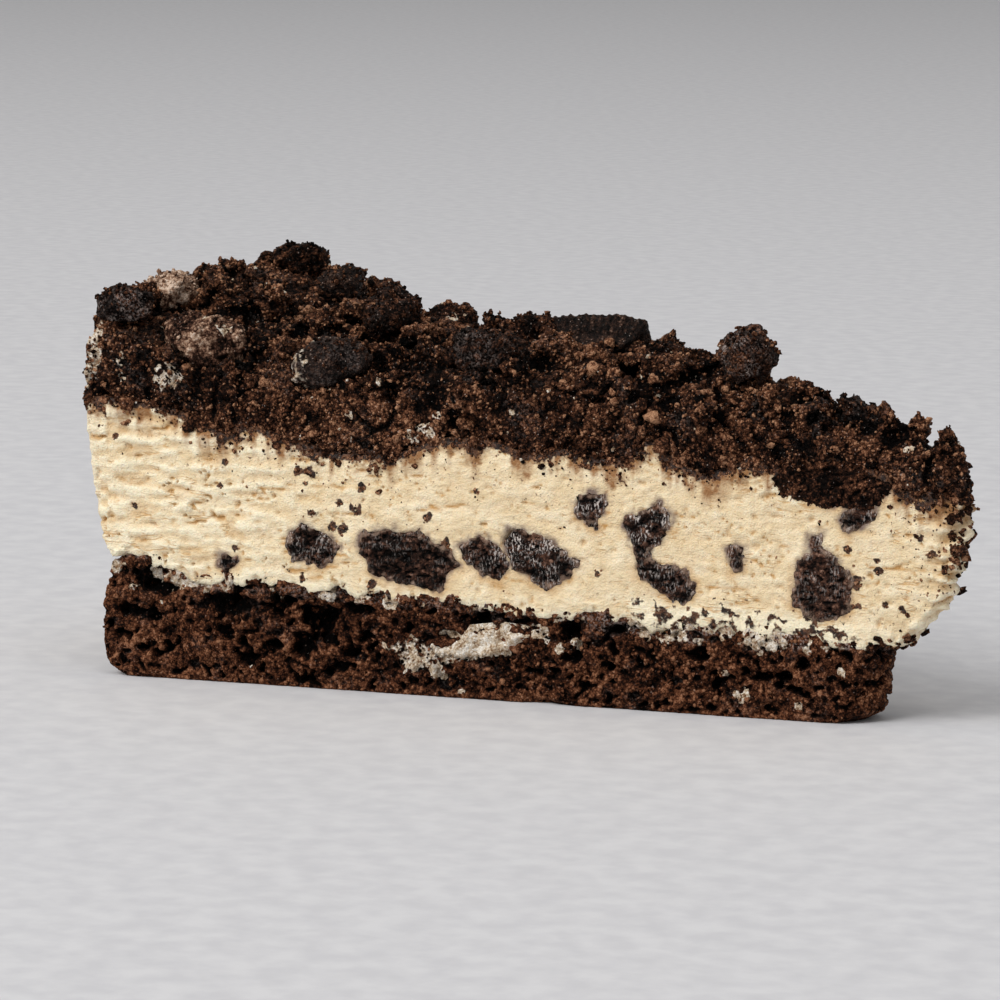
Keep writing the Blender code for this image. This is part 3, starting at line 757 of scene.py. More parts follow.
# Hollows between the lumps, carved and darkened with painted shade, as (x, y, z, half width, half height)
TOP_HOLLOWS = (
    (-51.2, -20.6, 48.3, 1.7, 0.9), (-51.7, -15.5, 48.3, 2.5, 1.3), (-48.7, -14.5, 48.8, 1.9, 1.2),
    (-42.7, -11.7, 47.3, 1.7, 1.3), (-35.5, -22.9, 45.5, 1.0, 1.6), (-41.5, -4.7, 47.1, 1.4, 1.0),
    (-16.8, -18.3, 42.7, 1.2, 1.0), (-14.5, -20.5, 39.3, 0.9, 1.5), (-16.4, -12.2, 44.0, 2.7, 1.6),
    (-15.1, -8.9, 44.9, 2.1, 1.4), (-7.8, -14.5, 43.3, 1.1, 1.0), (-0.8, -16.5, 41.8, 2.4, 1.3),
    (2.7, -15.7, 43.6, 1.0, 1.6), (14.5, -7.9, 43.0, 1.2, 1.8), (12.5, -13.4, 40.0, 1.3, 0.7),
    (13.3, -12.0, 41.0, 0.9, 0.6), (23.7, 0.5, 42.3, 1.6, 1.4), (36.9, -5.5, 39.2, 1.1, 1.0),
    (40.0, -5.1, 38.5, 1.4, 0.9),
)


def front_places(points):
    """Places as (distance, height), which is how the front cut is measured."""
    return np.column_stack((distance_of(points), points[:, 2]))


def spotted(points, places, spots):
    """How much of a ragged spot lies at each point, from a list of (place..., width)."""
    ragged = bumps(points, 0.9, 44)
    share = np.zeros(len(points))
    for *place, width in spots:
        away = np.linalg.norm(places - place, axis=1) / width + 0.6 * ragged
        share = np.maximum(share, step(away, 0.66, 0.25))
    return share


def hollowed(points, hollow_list):
    """How deep each point lies in a ragged hollow, from a list of (x, y, z, half width, half height)."""
    ragged = 0.5 * bumps(points, 1.1, 40)
    deep = np.zeros(len(points))
    for *place, width, height in hollow_list:
        away = np.linalg.norm((points - place) / (width, width, height), axis=1)
        deep = np.maximum(deep, step(away + ragged, 1.3, 0.6))
    return deep


def put_on_front(rows):
    """Turns (distance, height, ...) rows into (x, y, z, ...)."""
    return [(*on_front(distance, height), *rest) for distance, height, *rest in rows]


def past_trail(points, below):
    """How far each point lies past the ragged line down to which crumbs trail into the cream."""
    return below + 2.0 * bumps(points, 1.5, 45) + 1.2 * bumps(points, 0.6, 46)


def crumb_mix(points, rise):
    """Where crumbs of the base are mixed into the foot of the cream, at the front near the tip."""
    patch = bumps(points, (1.5, 1.5, 1.1), 47) + 0.6 * bumps(points, 0.7, 48) + 0.3 - 0.24 * rise
    along = step(np.abs(distance_of(points) - 31.0), 17.0, 13.0) * (across_of(points) < -0.7)
    return along * step(patch, 0.0, 0.12), along * step(rise, 3.6, 1.6)


# The layers

def fused_lumps():
    """Lumps of crushed cookie all over the heap, as a mesh to fuse with it."""
    draw = np.random.default_rng(5)
    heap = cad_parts["crumb_topping"].data

    def wanted(points, normals):
        sideways = step(normals[:, 2], 0.45, 0.1)
        return (1 - 0.5 * sideways) * (normals[:, 2] > -0.4)

    sizes = np.concatenate([low * (high / low) ** (draw.random(count) ** 1.5)
                            for count, low, high in ((260, 2.2, 5.6), (420, 1.2, 2.2))])
    places, normals, _ = surface_samples(heap, draw, len(sizes), wanted)
    proud = np.where(normals[:, 2] > 0.45, 0.26 * sizes, 0.4)
    middles = places + normals * (proud - 0.5 * sizes)[:, None]
    added = np.array(SKYLINE_LUMPS)
    middles = np.concatenate((middles, added[:, :3]))
    normals = np.concatenate((normals, np.tile((0.0, 0.0, 1.0), (len(added), 1))))
    sizes = np.concatenate((sizes, added[:, 3]))
    mesh, _ = grains("fused_lumps", middles, normals, sizes, draw, 1.0, 3)
    return mesh


def corner_smear(points):
    """Cream smeared on the outermost edge of the heap, where the rim meets the front."""
    corner = step(distance_of(points), 118.2, 119.4) * step(across_of(points), -0.8, -0.95)
    smear = corner * step(points[:, 2], 38.0, 39.5) * step(points[:, 2], 48.5, 46.5)
    return smear * (0.72 + 0.9 * bumps(points, 1.7, 7))


def make_topping(material):
    """The heap: fused crumbs and lumps, and flatter sides where the knife went."""
    lumps = fused_lumps()
    obj, mesh, points, normals = fine_copy("crumb_topping", TOPPING_CELL, 1, (lumps,))
    bpy.data.meshes.remove(lumps)
    under = step(-normals[:, 2], 0.5, 0.85)
    cut = np.maximum(*face_shares(points, normals)[:2])
    lower_edge = step(-Skyline(points).above(points), 2.6, 0.4) * step(np.abs(normals[:, 2]), 0.8, 0.4)
    for x, y, rise, reach in HEAP_CHANGES:
        away = np.hypot(points[:, 0] - x, points[:, 1] - y) / reach
        points[:, 2] += rise * np.exp(-away ** 2) * step(points[:, 2], 30.0, 36.0)
    block, block_lot = pebbles(points, 5.4, 3)
    clump, clump_lot = pebbles(points, 2.6, 1)
    knob, knob_lot = pebbles(points, 0.9, 2)
    loose = (1 - 0.35 * cut) * (1 - under)
    crevice = step(np.abs(bumps(points, 6.5, 8)), 0.08, 0.0) * step(bumps(points, 11.0, 9), -0.15, 0.1)
    deep_hollow = hollowed(points, TOP_HOLLOWS) * (1 - under)
    relief = loose * (0.7 * (clump - 0.6) + 0.44 * (knob - 0.6) + 0.4 * bumps(points, 0.8, 3) - 0.3)
    relief += loose * 0.8 * (block - 0.7)
    relief += 0.15 * lower_edge - 1.3 * loose * crevice * (1 - lower_edge) - 1.9 * deep_hollow
    near_side = near_outside(points)
    points += normals * relief[:, None]
    ragged = 2.4 * bumps(points, 2.6, 6) + 1.6 * bumps(points, 1.0, 7)
    points[:, 2] -= under * LAP + np.maximum(under, lower_edge) * near_side * (ragged - 0.35)
    move_points(mesh, points)
    pit = hollows(mesh, points, 14)
    deep = hollows(mesh, points, 60)
    brown = bumps(points, 8.0, 4) + 0.5 * bumps(points, 3.0, 5)
    tone = 0.5 + 0.18 * (block_lot - 0.5) + 0.2 * (clump_lot - 0.5) + 0.12 * (knob_lot - 0.5)
    tone += 0.2 * brown - 0.02 * cut
    # Painted shade: darker in the hollows, the deep hollows and the crevices, and lighter on the ridges
    tone -= shading(pit, 0.7, 0.2) + 0.5 * np.maximum(deep, 0)
    paint(mesh, "tone", tone - 0.6 * deep_hollow - 0.25 * crevice * loose)
    paint(mesh, "cream", np.maximum(spotted(points, points, TOP_SPOTS), corner_smear(points)))
    # Faint patches of painted glints over the heap
    paint(mesh, "frost_and_sheen", 0.12 * step(bumps(points, 5.0, 17) + 0.4 * bumps(points, 1.6, 18), 0.16, 0.4))
    skyline = Skyline(points)
    thin_out(obj, normals[:, 2] < -UPRIGHT)
    return dress(obj, material, "crumbs", "crumb_topping"), skyline


def cream_on_cake(points):
    """Cream on the cut of the base: its spots, its upper edge, and smears near the tip."""
    at_front = across_of(points) < -0.4
    cream = spotted(points, front_places(points), BASE_SPOTS) * at_front
    edge = step(points[:, 2], 9.5, 12.5) * step(bumps(points, 2.2, 12), 0.24, 0.4)
    smear = step(points[:, 2], 8.0, 10.6) * step(np.abs(distance_of(points) - 30.0), 15.0, 11.0)
    smear *= step(bumps(points, (2.2, 2.2, 1.3), 14), -0.16, 0.1) * at_front
    return np.maximum(cream, np.maximum(0.6 * edge, 0.8 * smear))


def film_on_cake(points, under):
    """A pale film close under the cream, and faint patches of it elsewhere."""
    film = step(bumps(points, (4.0, 4.0, 1.6), 19), -0.1, 0.25) * step(under, 2.2, 0.0)
    film *= 0.45 + 0.35 * step(distance_of(points), 60.0, 45.0)
    return film + 0.1 * step(bumps(points, 2.6, 22), 0.22, 0.42)


def make_base(material, streak, cream_line):
    """Crumbly cake with a thin crust on its rim and underside, dusted with cream near the filling."""
    plug = streak.plug()
    obj, mesh, points, normals = fine_copy("base_cake", BASE_CELL, 2, (plug,))
    bpy.data.meshes.remove(plug)
    front, _, rim = face_shares(points, normals)
    level = np.abs(normals[:, 2])
    open_cake = step(level, 0.8, 0.4) * step(rim, 0.9, 0.6) * step(points[:, 2], 0.2, 1.0)
    crust = step(level, 0.8, 0.4) - open_cake
    knob, knob_lot = pebbles(points, 1.3, 9)
    small, small_lot = pebbles(points, 0.65, 7)
    void = step(bumps(points, (3.6, 3.6, 2.2), 5) + 0.6 * bumps(points, 1.1, 6), 0.36, 0.56)
    crack = step(bumps(points, (2.0, 2.0, 1.0), 15) + 0.8 * bumps(points, 0.8, 16), 0.3, 0.52)
    deep_hollow = hollowed(points, put_on_front(BASE_HOLLOWS)) * open_cake
    relief = open_cake * (0.3 * (knob - 0.6) + 0.26 * (small - 0.6) + 0.7 * bumps(points, 6.0, 2))
    relief += open_cake * (0.5 * bumps(points, 1.7, 12) - 1.4 * void - 0.6 * crack)
    relief += crust * (0.25 * bumps(points, 2.5, 6) + 0.16 * (small - 0.6) - 0.3 * crack)
    near = np.flatnonzero((front > 0.6) & (np.abs(distance_of(points) - 69.5) < 14))
    inside = depth_inside(distance_of(points[near]), points[near, 2], STREAK_OUTLINE)
    relief[near] *= 1 - 0.8 * step(inside, -0.8, 0.4)
    near_side = near_outside(points)
    top = step(normals[:, 2], 0.4, 0.8)
    points += normals * (relief - 1.9 * deep_hollow)[:, None]
    points[:, 2] += top * (LAP + near_side * (0.2 + 1.6 * bumps(points, 2.6, 8)))
    points[:, 2] = np.maximum(points[:, 2], 0.0)
    move_points(mesh, points)
    pit = hollows(mesh, points, 12)
    deep = hollows(mesh, points, 50)
    tone = 0.55 + 0.16 * (knob_lot - 0.5) + 0.2 * (small_lot - 0.5) + 0.22 * bumps(points, 4.0, 8)
    tone += 0.06 * step(distance_of(points), 84.0, 104.0)
    # Painted shade: darker in the hollows, pores, cracks and deep hollows, and lighter on the ridges
    tone -= shading(pit, 0.8, 0.15) + 0.4 * np.maximum(deep, 0)
    tone -= 0.3 * void + 0.2 * crack + 0.6 * deep_hollow
    tone += 0.1 * step(points[:, 2], 1.4, 0.7) * step(points[:, 2], 0.0, 0.5)
    paint(mesh, "tone", tone)
    cream = cream_on_cake(points)
    cream[near] = np.maximum(cream[near], 0.5 * step(inside, -0.4, 0.5))
    paint(mesh, "cream", cream)
    paint(mesh, "frost_and_sheen", film_on_cake(points, cream_line.above(points)) * (1 - deep_hollow) * (1 - void))
    thin_out(obj, level > UPRIGHT)
    return dress(obj, material, "base_cake", "base_cake")


class Section:
    """A cut cookie: its node's points, and the flat section that shows in the cream."""

    def __init__(self, name):
        self.name = name
        self.outward = OUT_OF_BACK if "back" in name else OUT_OF_FRONT
        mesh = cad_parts[name].data
        points = points_of(mesh)
        self.solid = solid_of(mesh, points)
        depth = points @ self.outward
        self.reach = depth.max()
        self.low, self.high = points.min(0), points.max(0)
        self.edge = dense_ring(points[depth > self.reach - 0.12])
        self.outline = SECTION_OUTLINES.get(name)

    def covers(self, points):
        """Which points lie straight before or behind the section."""
        starts = points + (self.reach + RAY_START - points @ self.outward)[:, None] * self.outward
        return np.array([place is not None for place in cast_inward(self.solid, starts, self.outward)])

    def inside(self, points):
        """How far each point lies inside the section's edge, seen straight on; below zero outside it."""
        if self.outline:
            distance, height = distance_of(points), points[:, 2]
            ragged = bumps(np.column_stack((distance, height, np.zeros(len(points)))), 1.0, 33)
            return depth_inside(distance, height, self.outline) + 0.5 * ragged
        gap = nearest(points, self.edge)
        return np.where(self.covers(points), gap, -gap)

    def plug(self):
        """The node grown sideways, to fill its pocket in the cream."""
        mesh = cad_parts[self.name].data.copy()
        points = points_of(mesh)
        away = along_face(points - points.mean(0), self.outward)
        move_points(mesh, points + away * (1.0 / np.linalg.norm(away, axis=1).max()))
        return mesh

    def lay(self, points, front, level, behind):
        """Moves the front's points to a level off the section's plane, and keeps the others behind it."""
        depth = points @ self.outward - self.reach
        level = np.where(front, level, np.minimum(depth, behind))
        points += (level - depth)[:, None] * self.outward


def dense_ring(ring):
    """Points set closely along the outline of a flat section."""
    middle = ring.mean(0)
    away = ring - middle
    sideways = np.cross((0, 0, 1), away[np.linalg.norm(away[:, :2], axis=1).argmax()])
    sideways = np.cross(sideways / np.linalg.norm(sideways), (0, 0, 1))
    turns = np.arctan2(away[:, 2], away @ sideways)
    ring = ring[np.argsort(turns)]
    after = np.roll(ring, -1, axis=0)
    return np.concatenate([ring + share * (after - ring) for share in np.linspace(0, 1, 6, endpoint=False)])


def nearest(points, others):
    """The distance from each point to the nearest of the others."""
    tree = kdtree.KDTree(len(others))
    for index, other in enumerate(others.tolist()):
        tree.insert(other, index)
    tree.balance()
    return np.array([tree.find(point)[2] for point in points.tolist()])


def fit_round_cookies(sections, points, normals, relief):
    """Fits the cream's relief round each cookie; gives the grey halo and painted shade in the hollow round
    them, most of it below them.
    """
    halo, shade_under_cookie = np.zeros(len(points)), np.zeros(len(points))
    for number, section in enumerate(sections):
        low, high = section.low - 4, section.high + 4
        facing = normals @ section.outward > 0.4
        near = np.flatnonzero(((points > low) & (points < high)).all(1) & facing)
        inside = section.inside(points[near])
        held = step(inside, -2.2, -0.4)
        level = section.reach - 0.08 - 1.1 * step(inside, -0.05, 0.7)
        relief[near] *= 1 - 0.6 * held
        relief[near] += held * (level - points[near] @ section.outward)
        above = step(points[near, 2], section.low[2] - 1.0, section.high[2])
        ragged = 0.7 + 0.2 * above + 1.0 * bumps(points[near], (0.8, 0.8, 1.6), number)
        halo[near] = np.maximum(halo[near], step(inside, -0.7 - 0.8 * above, 0.3) * ragged)
        # Painted shade in the hollow round the cookie, mostly under it
        shade_under_cookie[near] = np.maximum(shade_under_cookie[near], step(inside, -1.5, -0.1) * (1 - 0.8 * above))
    return halo, shade_under_cookie


def cream_stain(flat, on_rim, below, trail):
    """Tan from the heap: in streaks under it, where crumbs trail, near the tip, and in patches."""
    streaks = step(bumps(flat, (1.0, 12.0, 4.0), 11), -0.25, 0.45)
    stain = 0.8 * step(below, 5.5, 0.0) * streaks + 0.7 * step(trail, 2.0, 0.2)
    stain += 0.25 * step(flat[:, 0], 12, 2) * ~on_rim
    return stain + 0.2 * step(bumps(flat, (5, 3, 5), 12), 0.25, 0.6)


def make_filling(material, sections, crumbs):
    """Cream with level furrows and cracks, deeper towards the rim."""
    plugs = [section.plug() for section in sections]
    obj, mesh, points, normals = fine_copy("filling", FILLING_CELL, 5, plugs)
    for plug in plugs:
        bpy.data.meshes.remove(plug)
    side = step(np.abs(normals[:, 2]), 0.85, 0.4)
    flat = unrolled(points)
    # Points that stand out more than 1 mm from the rim are as calm as the cuts
    on_rim = flat[:, 2] > RIM * SIDES_APART - 1.0
    distance = distance_of(points)
    under = step(-normals[:, 2], 0.4, 0.8)
    rise = -Skyline(points).above(points)
    lower_edge = side * step(rise, 2.0, 0.3)
    far = np.where(on_rim, 1.0, step(flat[:, 0], 84, 108))
    tip = step(distance, 9.0, 4.5)
    furrows = bumps(flat, (6.5, 1.3, 8.0), 1) + 0.8 * bumps(flat, (2.4, 0.7, 5.0), 2)
    crease = 1 - np.abs(bumps(flat, (5.0, 0.9, 7.0), 4))
    cracks = step(crease, 0.93, 0.995) * step(bumps(flat, (8.0, 3.0, 9.0), 5), -0.02, 0.3)
    facets = far * step(bumps(flat, (5.5, 1.9, 8.0), 14), 0.12, 0.34)
    pits = step(bumps(flat, (1.2, 0.8, 1.2), 6), 0.42, 0.6)
    relief = side * ((0.1 + 0.24 * far) * furrows - (0.24 + 0.3 * far) * cracks - 0.3 * pits - 0.2 * facets)
    relief += side * (0.14 * bumps(points, 0.9, 7) + tip * (1.3 * bumps(points, (2.4, 2.4, 0.8), 8) - 0.2))
    halo, shade_under_cookie = fit_round_cookies(sections, points, normals, relief)
    points += normals * relief[:, None]
    undercut = 2.4 * step(points[:, 2], 18.0, 11.0) * step(distance, 17.0, 6.0)
    points[:, 0] -= undercut
    near_side = near_outside(points)
    backed = step(distance, 13.0, 15.5)
    points[:, 2] += step(normals[:, 2], 0.5, 0.85) * LAP
    hang = 0.2 + 1.4 * bumps(points, 2.8, 13) + 0.7 * bumps(points, 1.1, 15)
    points[:, 2] -= (under * LAP + np.maximum(under, lower_edge) * near_side * hang) * backed
    move_points(mesh, points)
    pit = hollows(mesh, points, 12)
    below = crumbs.above(points)
    trail = past_trail(points, below)
    mixed, whitened = crumb_mix(points, rise)
    stain = cream_stain(flat, on_rim, below, trail)
    paint(mesh, "stain", stain * side + step(normals[:, 2], 0.25, 0.6))
    # Painted shade: in the hollows, cracks and facets and round the cookies, a little darker from the rim
    # towards the tip, lighter on the ridges, and none where the cream is whitened near the tip
    deeper = shading(pit, 1.3, 0.8) + 0.6 * cracks + 0.25 * facets + 0.7 * shade_under_cookie
    paint(mesh, "pit", (deeper + 0.12 + 0.1 * step(distance, 104, 70)) * side * (1 - whitened))
    specks = spotted(points, front_places(points), CREAM_SPECKS) * (across_of(points) < -0.8)
    ledge = 0.9 * step(normals[:, 2], 0.1, 0.4)
    trailed = side * np.maximum(0.9 * step(trail, 0.3, -0.2), 0.7 * mixed)
    paint(mesh, "crumb", np.maximum(np.maximum(specks, trailed), ledge))
    paint(mesh, "creased", 0.25 + 0.75 * np.maximum(step(distance, 60, 45), step(distance, 90, 105)))
    paint(mesh, "pepper", (0.3 + 0.7 * step(below, 9, 1) + 0.4 * step(distance, 24, 8)) * side)
    paint(mesh, "halo", halo)
    skyline = Skyline(points)
    thin_out(obj, np.abs(normals[:, 2]) > UPRIGHT)
    return dress(obj, material, "filling", "filling"), skyline


# Single pieces

# How much paler than the others a section's granules are
PALER = {"cookie_08": 0.12}
# How strongly pale bristles cover a section, where it isn't the usual share
BLOOM = {"cookie_01": 0.7, "cookie_02": 0.25, "cookie_03": 0.75, "cookie_04": 1.2, "cookie_05": 1.2,
         "cookie_06": 1.2, "cookie_08": 0.6}
USUAL_BLOOM = 0.5


def make_section(section, number, material):
    """Cut cookie, rough and flaky, with a ragged edge that the cream laps over."""
    plug = section.plug()
    fused = (plug,) if section.outline else ()
    obj, mesh, points, normals = fine_copy(section.name, SECTION_CELL, 2, fused)
    bpy.data.meshes.remove(plug)
    front = normals @ section.outward > 0.7
    wall = np.abs(points @ section.outward - section.reach + 0.35) < 0.2
    inside = nearest(points, points[wall & ~front])
    inside[~front] = 0
    sideways = along_face(normals, section.outward)
    points += 0.9 * sideways
    inside -= 0.9 * np.linalg.norm(sideways, axis=1)
    ragged = 0.6 * bumps(points, 1.8, number) + 0.6 * bumps(points, 0.7, number + 30)
    knob, lot = pebbles(points, 0.8, number)
    if section.outline:
        inside = section.inside(points)
        level = np.clip(0.8 * (inside + 0.05), -1.6, 0.16) + 0.4 * ragged * step(inside, 1.4, 0.2)
    else:
        level = np.clip(0.55 * (inside + 0.05), -0.5, 0.16) + ragged * step(inside, 1.4, 0.2)
    flakes = bumps(points, (3.0, 3.0, 0.9), number + 60)
    cleft = step(np.abs(flakes), 0.09, 0.0) * step(inside, 0.2, 0.9)
    level += 0.3 * (knob - 0.6) + 0.25 * bumps(points, 1.2, number + 70) + 0.25 * flakes - 0.4 * cleft
    section.lay(points, front, level, -0.35)
    move_points(mesh, points)
    pit = hollows(mesh, points, 10)
    middle = 0.5 * (section.low[2] + section.high[2])
    upper = step(points[:, 2], middle - 2.0, section.high[2] - 0.5)
    bloom = BLOOM.get(section.name, USUAL_BLOOM) * (0.4 + 0.65 * upper)
    bloom *= step(bumps(points, 1.6, number + 90), -0.3, 0.25)
    # Painted shade: fewer pale bristles and a darker tone in the hollows and the cleft
    paint(mesh, "bloom", bloom - 1.5 * np.maximum(pit, 0) - 0.4 * cleft)
    paint(mesh, "fringe", step(inside, 0.8, 0.0) * (0.5 + 0.8 * bumps(points, 0.9, number + 40)))
    tone = 0.45 + PALER.get(section.name, 0) + 0.24 * (lot - 0.5) - 1.2 * np.maximum(pit, 0) - 0.3 * cleft
    paint(mesh, "tone", tone + 0.3 * bumps(points, 2.4, number + 50))
    return dress(obj, material, "cookie", section.name)


def make_streak(streak, material):
    """Cream baked into the base: it shows only inside its ragged outline."""
    obj, mesh, points, normals = fine_copy(streak.name, SECTION_CELL, 2)
    front = normals @ streak.outward > 0.7
    points += 0.5 * along_face(normals, streak.outward)
    ragged = bumps(points, 1.6, 3) + 0.6 * bumps(points, 0.7, 4)
    inside = depth_inside(distance_of(points), points[:, 2], STREAK_OUTLINE)
    streak.lay(points, front, np.clip(0.8 * inside, -0.9, 0.3) + 0.5 * ragged + 0.1, -0.5)
    move_points(mesh, points)
    pit = hollows(mesh, points, 10)
    # Painted shade: darker and less creamy in the hollows
    paint(mesh, "tone", 0.5 - pit)
    paint(mesh, "cream", 0.95 - 0.9 * pit - 0.3 * step(distance_of(points), 67.0, 71.0))
    return dress(obj, material, "cream", streak.name)


class Lump(NamedTuple):
    """How one lump looks: patches is its share of pale patches, and sink how deep it has sunk."""

    matter: str
    relief: float = 1.0
    tone: float = 0.42
    patches: float = 0.0
    slot: str = "cookie"
    frost_and_sheen: float = 0.0
    sink: float = 0.0


LUMPS = {
    "lump_corner": Lump("crumbs", 0.8, 0.32, frost_and_sheen=0.45), "lump_middle": Lump("crumbs", 1.0, 0.34, frost_and_sheen=0.1),
    "lump_back": Lump("chunk", 0.7, 0.46), "lump_peak": Lump("crumbs", 1.0, 0.36),
    "lump_front": Lump("crumbs", 0.9, 0.34, frost_and_sheen=0.25), "lump_lone": Lump("crumbs", 0.7, 0.46, frost_and_sheen=0.8),
    "lump_far": Lump("crumbs", 1.0, 0.36, sink=0.4), "lump_inner": Lump("crumbs", 1.0, 0.38, sink=0.6),
    "lump_tip": Lump("crumbs", 1.0, 0.36), "lump_cream_end": Lump("chunk", 0.6, 0.44, frost_and_sheen=0.15),
    "lump_tan": Lump("tan", 0.9, 0.76, 0.4, "tan_lump", sink=1.2),
    "lump_pale": Lump("tan", 1.0, 0.42, 0.34, "tan_lump"),
}


def make_lump(node, look, seed, material):
    """A large lump: broken flats with crumbs baked on."""
    obj, mesh, points, normals = fine_copy(node, LUMP_CELL, 3)
    block, _ = pebbles(points, 3.6, seed)
    knob, lot = pebbles(points, 0.85, seed + 20)
    grit = 0.34 * (knob - 0.65) + 0.45 * bumps(points, 1.6, seed + 2) + 0.3 * bumps(points, 0.7, seed)
    relief = 0.1 + 0.7 * (block - 0.65) + look.relief * grit
    points += normals * relief[:, None] - (0, 0, look.sink)
    move_points(mesh, points)
    pit = hollows(mesh, points, 12)
    patch = step(bumps(points, 3.0, seed + 1) + 0.5 * bumps(points, 1.2, seed + 3), -0.05, 0.3)
    tone = look.tone + 0.16 * (lot - 0.5) + 0.2 * bumps(points, 2.5, seed + 1)
    # Painted shade in the hollows, and painted light on the ridges
    tone -= shading(pit, 0.8, 0.15)
    paint(mesh, "tone", tone + look.patches * (patch - 0.4))
    cream = spotted(points, points, TOP_SPOTS)
    if node == "lump_cream_end":
        cream = np.maximum(cream, 0.46 * step(points[:, 0] - points[:, 0].min(), 4.2, 2.4))
    paint(mesh, "cream", cream)
    # Pale frost and painted sheen: a little all over, and patches on the faces that look out of the front cut
    facing = step(normals @ OUT_OF_FRONT, 0.1, 0.6)
    paint(mesh, "frost_and_sheen", look.frost_and_sheen * (0.25 + facing * step(bumps(points, 2.6, seed + 7), -0.15, 0.2)))
    return dress(obj, material, look.slot, node)


def make_cream_crumbs(filling, material):
    """Small clusters of crumbs pressed into the front of the cream."""
    draw = np.random.default_rng(61)
    mesh = filling.data
    solid = solid_of(mesh, points_of(mesh))
    level = np.array((math.cos(HALF_ANGLE), math.sin(HALF_ANGLE), 0.0))
    starts, widths = [], []
    for *place, width in put_on_front(CREAM_SPECKS):
        count = 1 + round(3 * width)
        sideways, upward = 0.2 * width * draw.normal(size=(2, count, 1))
        starts.append(place + sideways * level + upward * (0, 0, 1) + RAY_START * OUT_OF_FRONT)
        widths.append(draw.uniform(0.25, 0.25 + 0.3 * width, size=count))
    starts, widths = np.concatenate(starts), np.concatenate(widths)
    found = cast_inward(solid, starts, OUT_OF_FRONT)
    kept = np.array([place is not None for place in found])
    middles = np.array([place for place in found if place is not None])
    sizes = widths[kept]
    normals = np.tile(OUT_OF_FRONT, (len(middles), 1))
    mesh, corners = grains("cream_crumbs", middles, normals, sizes, draw, 0.3, 1)
    paint(mesh, "tone", np.repeat(draw.uniform(0.55, 0.98, size=len(middles)), corners))
    return dress(new_piece("cream_crumbs", mesh), material, "crumbs")


def make_wafer(material):
    """The broken wafer, with plain radial ridges near its rim."""
    obj, mesh, points, normals = fine_copy("wafer_ridged", WAFER_CELL, 3)
    placed = (Matrix.Translation(WAFER_AT) @ Matrix.Rotation(WAFER_TURN, 4, "Z")
              @ Matrix.Rotation(-WAFER_LEAN, 4, "X")).inverted()
    turned = np.array(placed.to_3x3()).T
    local = points @ turned + np.array(placed.to_translation())
    on_face = step(np.abs((normals @ turned)[:, 1]), 0.5, 0.85)
    reach = np.hypot(local[:, 0], local[:, 2] + WAFER_RADIUS)
    angle = np.arctan2(local[:, 0], local[:, 2] + WAFER_RADIUS)
    ridge = np.cos(2 * math.pi * angle * WAFER_RADIUS / WAFER_RIDGE) * step(reach, 18.8, 19.4) * on_face
    groove = step(np.abs(reach - WAFER_GROOVE), 0.5, 0.2) * on_face
    relief = 0.2 * bumps(points, 2.0, 1) + 0.16 * bumps(points, 0.7, 2) + 0.14 * ridge - 0.25 * groove
    points += normals * relief[:, None]
    move_points(mesh, points)
    pit = np.maximum(hollows(mesh, points, 10), 0)
    # Painted shade in the hollows; a little lighter on the ridge crests
    paint(mesh, "tone", 0.44 + 0.25 * bumps(points, 1.5, 3) + 0.08 * ridge - 1.0 * pit)
    return dress(obj, material, "cookie", "wafer_ridged")


# Stage, light and camera

WORLD_TINT = (1.0, 0.99, 0.975, 1.0)
WORLD_STRENGTH = 0.38
# The lamps, as (name, azimuth and elevation in degrees, distance and size in metres, watts, tint)
LAMPS = (
    ("key", -18, 42, 3.6, 2.1, 94.0, (1.0, 0.985, 0.96)),
    ("top", 30, 75, 2.6, 1.8, 16.0, (1.0, 1.0, 1.0)),
)


def add_area_light(name, azimuth, elevation, distance, size, power, tint):
    lamp = bpy.data.lights.new(name, "AREA")
    lamp.shape = "SQUARE"
    lamp.size = size
    lamp.energy = power
    lamp.color = tint
    obj = new_piece(name, lamp)
    a, e = math.radians(azimuth), math.radians(elevation)
    away = Vector((math.sin(a) * math.cos(e), -math.cos(a) * math.cos(e), math.sin(e)))
    obj.location = distance * away
    obj.rotation_euler = (-away).to_track_quat("-Z", "Y").to_euler()


def make_stage():
    bm = bmesh.new()
    bmesh.ops.create_grid(bm, x_segments=4, y_segments=4, size=6.0)
    mesh = bpy.data.meshes.new("floor")
    bm.to_mesh(mesh)
    bm.free()
    floor = new_piece("floor", mesh)
    floor.location.z = -0.02 * MM
    mesh.materials.append(floor_material())

    world = bpy.data.worlds.new("studio")
    bpy.context.scene.world = world
    world.use_nodes = True
    sky = world.node_tree.nodes["Background"]
    feed(world.node_tree, sky, {"Color": WORLD_TINT, "Strength": WORLD_STRENGTH})
    for lamp in LAMPS:
        add_area_light(*lamp)
    bpy.context.scene.view_settings.view_transform = "Standard"


def make_camera():
    camera = bpy.data.cameras.new("camera")
    camera.lens = CAMERA_LENS
    camera.sensor_width = 36.0
    obj = new_piece("camera", camera)
    back = Vector((math.sin(CAMERA_AZIMUTH) * math.cos(CAMERA_PITCH),
                   -math.cos(CAMERA_AZIMUTH) * math.cos(CAMERA_PITCH), math.sin(CAMERA_PITCH)))
    obj.location = (CAMERA_TARGET + CAMERA_DISTANCE * back) * MM
    obj.rotation_euler = ((-back).to_track_quat("-Z", "Y") @ Quaternion((0, 0, 1), CAMERA_ROLL)).to_euler()
    camera.clip_start, camera.clip_end = 0.01, 50.0
    bpy.context.scene.camera = obj


# Where loose crumbs lie

def faces_up(points, normals):
    return step(normals[:, 2], -0.1, 0.3) * step(bumps(points, 4.0, 21), -0.3, 0.2)


def upper_half(points, normals):
    return step(normals[:, 2], -0.3, 0.4)


